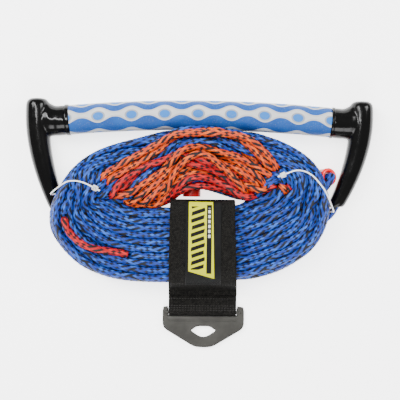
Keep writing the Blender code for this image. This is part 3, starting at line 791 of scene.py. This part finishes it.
def rope_pieces(paints):
    """The hank: runs of one colour, with blue in sections as a tow rope is joined from."""
    line = hank_centrelines()
    cuts = [(turn * STATIONS, colour) for turn, colour in COLOUR_TURNS]
    first = SPLICE_TURN * STATIONS
    turn = line[first: first + STATIONS]
    there = [k for k in range(STATIONS) if turn[k, 0] < SPLICE_END_X and turn[k, 1] < SPLICE_TOP_Y]
    cuts += [(first + there[0], "red"), (first + there[-1], "blue")]
    ends = [at for at, _ in cuts[1:]] + [len(line)]
    made = []
    for n, ((first, colour), last) in enumerate(zip(cuts, ends)):
        run = line[first:last].copy()
        for _ in range(2):
            run[1:-1] = 0.5 * run[1:-1] + 0.25 * (run[:-2] + run[2:])
        run[:, 1] += FRAME_Y
        fine = curve_through(run, int(length_of(run) / (BRAID_STEP * 0.9)))
        name = f"rope_{colour}_{n}"
        made.append(rope(name, fine, paints[colour], "hank", "rope_hank"))
    return made


def bar_line(start, end, count):
    """Points on the bowed axis of the bar."""
    x = np.linspace(start, end, count)
    y = BAR_END_Y + BAR_BOW * (1 - (x / GRIP_HALF) ** 2) + FRAME_Y
    return np.stack([x, y, np.full(count, BAR_Z)], axis=1)


def leg_point(side, y):
    """Middle of a cap's leg at a place along Y, in the hank's frame."""
    t = max(0.0, (LEG_BEND_Y - y) / (LEG_BEND_Y - LEG_FOOT_Y))
    x = side * (LEG_X - LEG_LEAN[side] * t**1.85)
    t = min(1.0, max(0.0, (LEG_BEND_Y - y) / (LEG_BEND_Y - LEG_TIP_Y[side])))
    return x, y, LEG_Z - LEG_DROP * t**1.2 + 0.1


def bridle_half(side):
    """The bridle rope from under the hank, up inside a leg and into the bar."""
    tip = LEG_TIP_Y[side]
    low_x = side * (abs(leg_point(side, tip)[0]) - 15.5)
    points = [(low_x - side * 8.0, -31.0, 4.3), (low_x - side, tip - 18, 4.3)]
    points.append((low_x + side * 10.4, tip - 8, 6.5))
    points += [leg_point(side, y) for y in (tip, tip + 14, tip + 32, 46.0, 58.0)]
    end = bar_line(side * (LEG_X - 14), side * (LEG_X - 14), 1)[0]
    points.append((side * (LEG_X - 3.6), end[1] - FRAME_Y - 5.2, BAR_Z))
    points.append((end[0], end[1] - FRAME_Y, end[2]))
    return [(x, y + FRAME_Y, z) for x, y, z in points]


def bridle(paint):
    """One rope from under the hank through a leg, the bar and the other leg."""
    points = bridle_half(-1) + bar_line(-120.0, 120.0, 11).tolist() + bridle_half(1)[::-1]
    rope("bridle", curve_through(points, 420), paint, "handle", "bridle_rope")


def boat_loop(paint):
    """The eye at the rope's boat end: up out of its sleeve and down into the hank."""
    foot, axis = sleeve_line()
    mouth = foot + axis * LOOP_SLEEVE_LENGTH
    points = [foot + axis * 2, foot + axis * 8, mouth, mouth + axis * 4]
    points += [mouth + np.array(step) for step in LOOP_STEPS]
    rope("boat_loop", curve_through(points, 60), paint, "hank", "boat_loop_rope")


def sleeve_line():
    """Foot and direction of the boat loop's sleeve."""
    axis = unit(np.array(LOOP_SLEEVE_AXIS))
    return np.array(LOOP_SLEEVE_MOUTH) + (0.0, FRAME_Y, 0.0) - axis * LOOP_SLEEVE_LENGTH, axis


def turned(name, start, axis, profile, sides, wobble=0.0):
    """A closed turned body: profile is (along, radius) points, outside first, then back inside."""
    axis = unit(np.array(axis, float))
    one = np.cross(axis, (0.0, 0.0, 1.0))
    if np.linalg.norm(one) < 0.3:
        one = np.cross(axis, (0.0, 1.0, 0.0))
    one = unit(one)
    two = np.cross(axis, one)
    angle = np.linspace(0, 2 * np.pi, sides, endpoint=False)
    rings = []
    for along, radius in profile:
        r = radius * (1 + wobble * np.sin(2 * angle + along * 0.3))
        rings.append(
            np.array(start) + axis * along
            + np.outer(np.cos(angle) * r, one) + np.outer(np.sin(angle) * r, two)
        )
    return closed_rings(name, np.array(rings))


def closed_rings(name, rings):
    """A mesh of closed rings that close on themselves, like a ring of rings."""
    count, sides = rings.shape[:2]
    index = np.arange(count * sides).reshape(count, sides)
    right, up = np.roll(index, -1, axis=1), np.roll(index, -1, axis=0)
    both = np.roll(right, -1, axis=0)
    faces = np.stack([index, right, both, up], axis=-1).reshape(-1, 4)
    mesh = new_mesh(name, rings, faces.tolist())
    outward(mesh)
    mesh.shade_smooth()
    return mesh


def outward(mesh):
    work = bmesh.new()
    work.from_mesh(mesh)
    bmesh.ops.recalc_face_normals(work, faces=work.faces)
    work.to_mesh(mesh)
    work.free()


def sleeve_profile(length, outer, bore):
    """A soft tube's wall with rounded lips."""
    lip, middle = (outer - bore) / 2, (outer + bore) / 2
    points = []
    for centre, first, radius in ((length - lip, 90, outer), (lip, 270, bore)):
        for t in (0.2, 0.4, 0.6, 0.8):
            run = lip + (length - 2 * lip) * t
            points.append((run if radius == outer else length - run, radius))
        for turn in range(0, 181, 30):
            a = math.radians(first - turn)
            points.append((centre + lip * math.cos(a), middle + lip * math.sin(a)))
    return points


def sleeves():
    paint, s = principled("vinyl_red", (0.80, 0.004, 0.006), 0.28, specular=0.45)
    s.bump(s.noise(420.0, 3.0), 0.0002, 0.35)
    s.give("Roughness", s.step(s.noise(60.0), 0.3, 0.7, (0.24, 0.38)))
    low, high = BRIDLE_SLEEVE_Y
    start = (BRIDLE_SLEEVE_X, low + FRAME_Y, BRIDLE_SLEEVE_Z)
    foot, axis = sleeve_line()
    for word, at, way, length, bore in (
        ("bridle", start, (0, 1, 0), high - low, SLEEVE_BORE),
        ("boat_loop", foot, axis, LOOP_SLEEVE_LENGTH, LOOP_SLEEVE_BORE),
    ):
        profile = sleeve_profile(length, SLEEVE_RADIUS, bore)
        mesh = turned(f"sleeve_{word}", at, way, profile, 56, 0.008)
        link(f"sleeve_{word}", mesh, paint, "hank", f"{word}_sleeve")


# ---------------------------------------------------------------- the handle


def around_from(angle, other):
    """How far one angle is past another, between minus and plus half a turn."""
    return np.mod(angle - other + np.pi, 2 * np.pi) - np.pi


def grip_rows(angle):
    """The chain of eyes nearest to each angle round the grip: its angle, and its shift."""
    angles, shifts = np.array(EYE_ROWS, float).T
    angles = np.radians(angles)
    nearest = np.argmin(np.abs(around_from(angle[..., None], angles)), axis=-1)
    return angles[nearest], shifts[nearest]


def grip_paint():
    """Blue foam with pale chains of eyes. The UV is turns of the wave, and mm across its row."""
    paint, s = principled("grip_foam", (0.1, 0.2, 0.5), 0.55, specular=0.22)
    along, across = s.uv()
    wave = s.math("COSINE", s.times(along, 2 * math.pi))
    wave = s.add(s.times(wave, 0.5), 0.5)
    wave = s.math("POWER", s.math("MAXIMUM", wave, 0.0), EYE_SHAPE)
    band = s.add(s.times(wave, BAND_EYE - BAND_NECK), BAND_NECK)
    off = s.less(s.math("ABSOLUTE", across), band)
    near = s.times(s.less(s.math("FRACT", s.add(along, 0.5)), 0.5), EYE_PITCH)
    ring = s.add(s.math("POWER", s.math("DIVIDE", near, DOT[0]), 2.0),
                 s.math("POWER", s.math("DIVIDE", s.add(across, DOT_LOW), DOT[1]), 2.0))
    ring = s.math("SQRT", ring)
    cloud = s.noise(45.0, 3.0)
    blue = s.mix(s.step(cloud, 0.35, 0.65), GRIP_BLUE, GRIP_BLUE_PALE)
    light = s.mix(s.step(cloud, 0.3, 0.7), GRIP_LIGHT, GRIP_LIGHT_SHADE)
    outline = s.step(s.math("ABSOLUTE", s.add(off, 1.0)), 0.1, 0.5, (0.6, 0.0))
    line = s.mix(outline, light, GRIP_LINE)
    inside = s.mix(s.step(off, -0.2, 0.2), line, blue)
    rim = s.mix(s.step(ring, 1.0, 1.1), GRIP_DOT, GRIP_RIM)
    eye = s.mix(s.step(ring, 1.3, 1.45), rim, inside)
    dots = s.step(s.noise(900.0), 0.56, 0.72, (0.0, 0.18))
    s.give("Base Color", s.mix(dots, eye, GRIP_LINE))
    s.bump(s.noise(2600.0, 3.0, 0.7), 0.00025, 0.55)
    s.give("Roughness", s.step(cloud, 0.3, 0.7, (0.46, 0.62)))
    return paint


def round_bar(line, radii, turn):
    """Rings of points round a line of the bar."""
    y = line[:, 1:2] + radii * np.sin(turn)
    z = line[:, 2:3] + radii * np.cos(turn)
    return np.stack([np.broadcast_to(line[:, :1], y.shape), y, z], axis=-1)


def grip():
    """The printed foam: the chains of eyes stand out of it, and the dots and outlines lie in it."""
    rings, sides = GRIP_RINGS
    line = bar_line(-GRIP_HALF, GRIP_HALF, rings)
    turn = np.linspace(0, 2 * np.pi, sides, endpoint=False)
    row_angle, shift = grip_rows(turn)
    across = around_from(turn, row_angle) * GRIP_RADIUS
    along = (line[:, :1] + EYE_SHIFT) / EYE_PITCH + shift[None, :]
    wave = np.abs(0.5 + 0.5 * np.cos(2 * np.pi * along)) ** EYE_SHAPE
    off = np.abs(across)[None, :] - (BAND_NECK + (BAND_EYE - BAND_NECK) * wave)
    near = (np.mod(along + 0.5, 1.0) - 0.5) * EYE_PITCH
    ring = np.sqrt((near / DOT[0]) ** 2 + ((across[None, :] + DOT_LOW) / DOT[1]) ** 2)
    raised = 0.22 * (1 / (1 + np.exp(off / 0.28)))
    raised -= 0.20 * (1 / (1 + np.exp((ring - 1.2) / 0.06)))
    raised -= 0.10 * np.exp(-(((off + 1.0) / 0.35) ** 2))
    edge = np.minimum(np.arange(rings), np.arange(rings)[::-1])[:, None]
    soft = np.clip(1 - edge / 4.0, 0, 1) ** 2
    outer = round_bar(line, GRIP_RADIUS - 0.1 + raised - soft, turn)
    bore = np.vstack([line[:1], line[:: rings // 12][1:-1], line[-1:]])[::-1]
    mesh = closed_rings("grip", np.vstack([outer, round_bar(bore, GRIP_BORE, turn)]))
    index = corners_of(mesh)
    x = places_of(mesh)[:, 0][index] / MM
    # every corner of a face takes the row that lies nearest to the face's middle
    angle = (index % sides).reshape(-1, 4) * (2 * np.pi / sides)
    angle = angle[:, :1] + around_from(angle, angle[:, :1])
    row_angle, shift = grip_rows(angle.mean(axis=1))
    u = (x + EYE_SHIFT) / EYE_PITCH + shift.repeat(4)
    v = around_from(angle, row_angle[:, None]) * GRIP_RADIUS
    set_uv(mesh, np.stack([u, v.ravel()], axis=-1))
    link("grip", mesh, grip_paint(), "handle", "grip_sleeve")


def remeshed(node, name, voxel, smooth, rounds, grow):
    """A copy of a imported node's solid with its facets melted into one smooth skin.

    grow, in mm, gives back what the smoothing takes off.
    """
    piece = bpy.data.objects.new(name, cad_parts[node].data.copy())
    bpy.context.scene.collection.objects.link(piece)
    piece.data.materials.clear()
    fine = piece.modifiers.new("fine", "REMESH")
    fine.mode = "VOXEL"
    fine.voxel_size = voxel
    relax = piece.modifiers.new("relax", "SMOOTH")
    relax.factor = smooth
    relax.iterations = rounds
    bpy.context.view_layer.update()
    graph = bpy.context.evaluated_depsgraph_get()
    mesh = bpy.data.meshes.new_from_object(piece.evaluated_get(graph))
    bpy.data.objects.remove(piece)
    for vertex, normal in zip(mesh.vertices, [n.vector.copy() for n in mesh.vertex_normals]):
        vertex.co += normal * grow * MM
    mesh.shade_smooth()
    return mesh


def caps():
    paint, s = principled("cap_black", (0.002, 0.002, 0.002), 0.16, specular=0.5)
    wave = s.noise(55.0)
    s.bump(s.add(wave, s.times(s.noise(1800.0), 0.05)), 0.0006, 0.25)
    s.give("Roughness", s.step(wave, 0.3, 0.7, (0.12, 0.22)))
    s.give("IOR", 1.28)
    # the collars reach over the ends of the grip
    outer, shoulder, inner = COLLAR_RADIUS, COLLAR_RADIUS - 0.5, COLLAR_RADIUS - 1.4
    for word, (start, end) in COLLAR_X.items():
        node = f"end_cap_{word}"
        mesh = remeshed(node, f"cap_{word}", 0.0009, 0.5, 9, 0.35)
        link(f"cap_{word}", mesh, paint, "handle", node)
        line = bar_line(start, end, 2)
        long = abs(end - start)
        profile = [(0.0, shoulder)]
        profile += [(0.5 + (long - 1.0) * t, outer) for t in (0.0, 0.25, 0.5, 0.75, 1.0)]
        profile += [(long, shoulder), (long, inner), (0.0, inner)]
        mesh = turned(f"cap_collar_{word}", line[0], line[1] - line[0], profile, 72)
        link(f"cap_collar_{word}", mesh, paint, "handle", node)


# ---------------------------------------------------------------- strap, label and hanger


def strap_line():
    """Centre of the strap, as y and z: tail, hanger bar, under the hank and up the lens."""
    bar_y, bar_z = HANGER_BAR
    turns = [math.radians(angle) for angle in STRAP_TURNS]
    loop = [(bar_y + STRAP_LOOP * math.cos(a), bar_z + STRAP_LOOP * math.sin(a)) for a in turns]
    return [*STRAP_TAIL, *loop, *STRAP_UNDER, *STRAP_RISE]


def web_line(points, step):
    line = np.array([(STRAP_MIDDLE, y + FRAME_Y, z) for y, z in points])
    rough = curve_through(line, 200)
    return spaced(rough, max(8, int(length_of(rough) / step)))


def web_mesh(name, line, edges, thick, columns=64, start=0.0, weave=0.1):
    """Flat webbing on a line, between two edges that may drift: woven ribs and mm UVs.

    edges holds the left and right x where the line starts, and where it ends. Also returns how
    far along the webbing the piece ends.
    """
    side = np.array([1.0, 0.0, 0.0])
    out = np.cross(side, unit(np.gradient(line, axis=0)))
    way = way_along(line) + start
    share = ((way - way[0]) / (way[-1] - way[0]))[:, None]
    first, last = edges
    left, right = (a + (b - a) * share for a, b in zip(first, last))
    half = (first[1] - first[0]) / 2
    s = np.linspace(-1, 1, columns)
    x = half * np.sin(s * np.pi / 2) * 0.25 + half * s * 0.75
    drift = (left + right) / 2 + x[None, :] / half * (right - left) / 2 - STRAP_MIDDLE
    edge = np.clip((half - np.abs(x)) / (thick * 0.7), 0, 1)
    round_edge = np.sqrt(1 - (1 - edge) ** 2) * 0.86 + 0.14
    rib = weave * (np.cos(2 * np.pi * way / WEAVE)[:, None] * np.cos(np.pi * x / WEAVE)[None, :])
    height = thick / 2 * round_edge[None, :] + rib * edge[None, :] * 0.5
    middle = line[:, None, :] + side * drift[:, :, None]
    rise = out[:, None, :] * height[:, :, None]
    points = np.concatenate([middle + rise, (middle - rise)[:, ::-1]], axis=1)
    count, around = points.shape[:2]
    index = np.arange(count * around).reshape(count, around)
    after = np.roll(index, -1, axis=1)
    faces = np.stack([index[:-1], after[:-1], after[1:], index[1:]], axis=-1).reshape(-1, 4)
    faces = faces.tolist()
    for row, way_round in ((index[0], 1), (index[-1], -1)):
        for c in range(columns - 1):
            quad = [row[c], row[c + 1], row[around - 2 - c], row[around - 1 - c]]
            faces.append(quad[::way_round])
    mesh = new_mesh(name, points, faces)
    mesh.update()
    outward(mesh)
    u = np.concatenate([x, x[::-1]])
    grid = np.stack(np.broadcast_arrays(u[None, :], way[:, None]), axis=-1).reshape(-1, 2)
    set_uv(mesh, grid[corners_of(mesh)])
    mesh.shade_smooth()
    return mesh, way[-1]


def web_paint():
    """Black woven webbing."""
    paint, s = principled("webbing_black", (0.004, 0.004, 0.004), 0.8, specular=0.06)
    x, y = s.uv()
    ribs = s.math("SINE", s.times(y, 2 * math.pi / WEAVE))
    ends = s.math("SINE", s.times(x, 2 * math.pi / WEAVE))
    twill = s.times(ribs, ends)
    speck = s.white(*(s.math("FLOOR", s.times(way, 2 / WEAVE)) for way in (x, y)))
    shade = s.add(s.times(twill, 0.35), s.times(speck, 0.5))
    s.give("Base Color", s.mix(s.step(shade, -0.1, 0.8), *WEB_COLOURS))
    s.bump(twill, 0.0004, 0.9)
    return paint


def stitches(name, rows, x_range, tree, paint, body, node):
    """Rows of thread on the webbing: each stitch a small bar that lies on it."""
    work = bmesh.new()
    for y in rows:
        for x in np.arange(x_range[0], x_range[1], STITCH_PITCH):
            ends = []
            for along in (x, x + STITCH_LONG):
                top = top_of(tree, along, y)
                if top is not None:
                    ends.append(place(along, y, top + STITCH_THICK * 0.1))
            if len(ends) < 2:
                continue
            way = ends[1] - ends[0]
            grid = Vector((1, 0, 0)).rotation_difference(way).to_matrix().to_4x4()
            grid.translation = (ends[0] + ends[1]) / 2
            made = bmesh.ops.create_icosphere(work, subdivisions=2, radius=STITCH_THICK * MM / 2)
            for vertex in made["verts"]:
                vertex.co.x *= STITCH_LONG / STITCH_THICK
                vertex.co = grid @ vertex.co
    link(name, from_work(name, work), paint, body, node)


def tree_of(pieces):
    """The faces of some pieces as one tree for ray casts."""
    points, faces = [], []
    for piece in pieces:
        base = len(points)
        points += places_of(piece.data).tolist()
        faces += [[v + base for v in f.vertices] for f in piece.data.polygons]
    return BVHTree.FromPolygons(points, faces)


def bend(piece):
    """Bakes the placement of a piece that crosses the hinge from the hank to the flap into its
    mesh.
    """
    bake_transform(piece)


def straps():
    paint = web_paint()
    thread, _ = principled("thread_black", (0.02, 0.019, 0.018), 0.6, specular=0.2)
    inset = (STRAP_X[0] + STITCH_INSET[0], STRAP_X[1] - STITCH_INSET[1])
    top = FLAP_TOP_X
    mesh, end = web_mesh("strap", web_line(strap_line(), 0.8), (STRAP_X, top), WEB)
    strap = link("strap", mesh, paint, "hank", "keeper_strap")
    stitches("strap_stitches", STRAP_ROWS, inset, tree_of([strap]), thread, "hank", "keeper_strap")
    mesh, end = web_mesh("strap_fold", web_line(FOLD, 0.6), (top, top), WEB, start=end)
    bend(link("strap_fold", mesh, paint, None))
    mesh, _ = web_mesh("strap_flap", web_line(FLAP, 0.8), (top, STRAP_X), WEB, start=end)
    flap = link("strap_flap", mesh, paint, "flap", "keeper_flap")
    stitches("flap_stitches", FLAP_ROWS, inset, tree_of([flap]), thread, "flap", "keeper_flap")


def label_paint():
    """A printed patch: a leaning yellow field with slanted bars, a wave and a dark strip.

    Its UV is mm from its middle and mm from its top.
    """
    paint, s = principled("label_print", (0.005, 0.005, 0.005), 0.5, specular=0.12)
    x, y = s.uv()
    right = s.add(8.65, s.times(y, 0.026))
    foot = s.add(72.2, s.times(x, 0.33))
    inside = s.times(s.step(x, -13.95, -13.75), s.step(s.less(right, x), -0.1, 0.1),
                     s.step(y, 2.1, 2.3), s.step(s.less(foot, y), -0.1, 0.1))
    bars = s.math("FRACT", s.math("DIVIDE", s.add(y, s.times(x, 0.35)), LABEL_BARS))
    bars = s.step(s.off_centre(bars), 0.27, 0.29, (1.0, 0.0))
    waved = s.add(x, s.times(s.math("SINE", s.times(y, 0.42)), 0.5))
    mark = s.times(bars, s.window(waved, -11.4, 0.8, 0.3), s.window(y, 6.5, 66.0, 0.3))
    strip = s.times(s.window(x, 2.95, 7.65, 0.2), s.window(y, 5.2, 70.0, 0.2))
    dash = s.step(s.off_centre(s.math("FRACT", s.math("DIVIDE", y, LABEL_DASHES))), 0.3, 0.34,
                  (1.0, 0.0))
    white = s.times(dash, s.window(x, 4.3, 6.5, 0.2), s.window(y, 8.0, 36.0, 0.2))
    field = s.mix(inside, LABEL_BLACK, LABEL_YELLOW)
    colour = s.mix(s.math("MAXIMUM", mark, strip), field, LABEL_BLACK)
    s.give("Base Color", s.mix(white, colour, LABEL_WHITE))
    s.bump(s.times(s.math("SINE", s.times(x, 9.0)), s.math("SINE", s.times(y, 9.0))), 0.0002, 0.5)
    return paint


def label():
    """The patch sewn on the flap, its edges rounded."""
    edges = (LABEL_X, LABEL_X)
    mesh, _ = web_mesh("label", web_line(LABEL, 0.9), edges, LABEL_THICK, 40, weave=0.0)
    bend(link("label", mesh, label_paint(), None, "label_patch"))


def hanger():
    paint, s = principled("hanger_grey", (0.030, 0.029, 0.028), 0.5, specular=0.22)
    s.bump(s.noise(1500.0, 3.0, 0.6), 0.0002, 0.6)
    s.give("Base Color", s.mix(s.step(s.noise(70.0, 3.0), 0.3, 0.7), *HANGER_COLOURS))
    mesh = remeshed("hanger", "hanger_plate", 0.0005, 0.5, 2, 0.25)
    link("hanger_plate", mesh, paint, "hanger", "hanger")
    # a thin lip round the strap's loop, the raised rail below it and the arms' full ends
    low, high = SLOT_X
    for word, (x_one, x_two), (y_low, y_high), (z_low, z_high), soft in (
        ("lip", (low, high), LIP_Y, LIP_Z, 0.2),
        ("rail", (low + 0.6, high - 0.6), RAIL_Y, RAIL_Z, 0.35),
        ("ear_left", (HANGER_X[0] + 0.2, low + 0.1), EAR_Y, EAR_Z, 1.3),
        ("ear_right", (high - 0.1, HANGER_X[1] - 0.2), EAR_Y, EAR_Z, 1.3),
        ("web_left", (low - 0.4, STRAP_X[0] - 0.1), WEB_Y, LIP_Z, 0.2),
        ("web_right", (STRAP_X[1] + 0.1, high + 0.4), WEB_Y, LIP_Z, 0.2),
    ):
        name = f"hanger_{word}"
        box = rounded_box(name, (x_one, y_low, z_low), (x_two, y_high, z_high), soft)
        link(name, box, paint, "hanger", "hanger")


def rounded_box(name, low, high, soft):
    """A block between two corners of the hank's frame, with soft edges."""
    work = bmesh.new()
    bmesh.ops.create_cube(work, size=1.0)
    for vertex in work.verts:
        share = [c + 0.5 for c in vertex.co]
        vertex.co = place(*(a + (b - a) * t for a, b, t in zip(low, high, share)))
    bmesh.ops.bevel(work, geom=list(work.edges), offset=soft * MM, segments=2, profile=0.5,
                    affect="EDGES")
    return from_work(name, work)


# ---------------------------------------------------------------- cable ties


def top_of(tree, x, y):
    """Height of the rope over a point of the hank's frame, in mm, or None beside it."""
    hit = tree.ray_cast(place(x, y, 200.0), Vector((0, 0, -1)))[0]
    return hit.z / MM if hit else None


def tie(word, tree, paint):
    """A nylon tie: pulled tight over the top of the turns, round the edge and back below."""
    plan = curve_through([(x, y, 0) for x, y in TIE_OVER[word]], 40)
    heights = []
    for x, y, _ in plan:
        around = [top_of(tree, x + a, y + b) for a in (-1.5, 0, 1.5) for b in (-1.5, 0, 1.5)]
        around = [h for h in around if h is not None]
        heights.append(max(around) if around else 8.0)
    way = way_along(plan)
    taut = np.array(heights)
    for i in range(len(taut)):
        for a in range(i):
            for b in range(i + 1, len(taut)):
                t = (way[i] - way[a]) / (way[b] - way[a])
                taut[i] = max(taut[i], heights[a] * (1 - t) + heights[b] * t)
    points = [(x, y, z + 0.7) for (x, y, _), z in zip(plan[::4], taut[::4])]
    points += list(TIE_UNDER[word])
    head_x, head_y = TIE_OVER[word][0]
    points.append((head_x, head_y - 0.6, 12.0))
    points.append((head_x, head_y - 0.3, taut[0] - 6.0))
    ring = [(x, y + FRAME_Y, z) for x, y, z in points]
    p = np.array(ring[-3:] + ring + ring[:3])
    line = curve_through(p, 900)
    start = int(np.argmin(np.linalg.norm(line[:450] - ring[0], axis=1)))
    end = 450 + int(np.argmin(np.linalg.norm(line[450:] - ring[0], axis=1)))
    line = spaced(line[start:end + 1], 260)[:-1]
    across = np.cross((line[0] - line[len(line) // 2]) * (1, 1, 0), (0, 0, 1.0))
    tangents = unit(np.roll(line, -1, axis=0) - np.roll(line, 1, axis=0))
    side = unit(across - tangents * (tangents @ across)[:, None])
    out = np.cross(side, tangents)
    rings = []
    for a in np.linspace(0, 2 * np.pi, 12, endpoint=False) + math.pi / 12:
        c, d = (math.copysign(abs(t) ** 0.5, t) for t in (math.cos(a), math.sin(a)))
        rings.append(line + side * c * TIE_WIDTH / 2 + out * d * TIE_THICK / 2)
    mesh = closed_rings(f"tie_{word}", np.stack(rings, axis=1))
    link(f"tie_{word}", mesh, paint, "hank", f"cable_tie_{word}")
    tie_head(word, head_x, head_y, taut[0], plan, paint)


def tie_head(word, x, y, z, plan, paint):
    """The square head of a tie and the cut tail."""
    ahead = Vector(plan[6] - plan[0])
    ahead.z = 0
    ahead.normalize()
    side = Vector((-ahead.y, ahead.x, 0))
    up = Vector((0, 0, 1))
    work = bmesh.new()
    parts = (
        ((0, 0, 1.9), (5.2, 5.0, 3.8)),
        ((-3.6, 0.2, 2.4), (3.4, 1.9, 1.1)),
        ((0.3, 0.0, 4.1), (2.6, 2.8, 0.8)),
    )
    for (a, b, c), size in parts:
        made = bmesh.ops.create_cube(work, size=1.0)["verts"]
        for v in made:
            spot = Vector((v.co.x * size[0], v.co.y * size[1], v.co.z * size[2]))
            spot = ahead * (spot.x + a) + side * (spot.y + b) + up * (spot.z + c)
            v.co = (Vector((x, y + FRAME_Y, z)) + spot) * MM
    bmesh.ops.bevel(work, geom=work.edges[:], offset=0.45 * MM, segments=3, affect="EDGES")
    name = f"tie_head_{word}"
    link(name, from_work(name, work), paint, "hank")


def ties(made):
    paint, s = principled("nylon_white", (0.72, 0.72, 0.74), 0.35, specular=0.45)
    s.give("Subsurface Weight", 0.15)
    s.give("Subsurface Scale", 0.001)
    s.bump(s.noise(1200.0), 0.00015, 0.4)
    tree = tree_of(made)
    for word in ("left", "right"):
        tie(word, tree, paint)


# ---------------------------------------------------------------- parts kept from the model


def kept_parts():
    """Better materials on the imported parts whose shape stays."""
    alloy, s = principled("alloy_brushed", (0.62, 0.63, 0.65), 0.3, metallic=1.0)
    s.give("Roughness", s.step(s.noise(900.0, 3.0), 0.3, 0.7, (0.22, 0.4)))
    bush, s = principled("bush_nylon", (0.55, 0.55, 0.52), 0.4)
    s.bump(s.noise(900.0), 0.0002, 0.3)
    tapes = []
    for name, scale, grey in (("hook_pile", 2200.0, 0.012), ("loop_pile", 1400.0, 0.008)):
        paint, s = principled(name, (grey, grey, grey), 0.85, specular=0.1)
        pile = s.noise(scale, 2.0, 0.8)
        s.bump(pile, 0.0006, 1.0)
        s.give("Base Color", s.mix(s.step(pile, 0.35, 0.7), (grey * 0.5,) * 3, (grey * 2.5,) * 3))
        tapes.append(paint)
    nodes = ("handle_tube", "rope_bush_left", "rope_bush_right", "hook_patch", "loop_patch")
    for node, paint in zip(nodes, (alloy, bush, bush, *tapes)):
        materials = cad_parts[node].data.materials
        materials.clear()
        materials.append(paint)


camera()
studio()
rope_paints = {word: braid_paint(f"rope_{word}", *pair) for word, pair in ROPE_COLOURS.items()}
hank = rope_pieces(rope_paints)
bridle(rope_paints["blue"])
boat_loop(rope_paints["blue"])
sleeves()
grip()
caps()
straps()
label()
hanger()
ties(hank)
kept_parts()
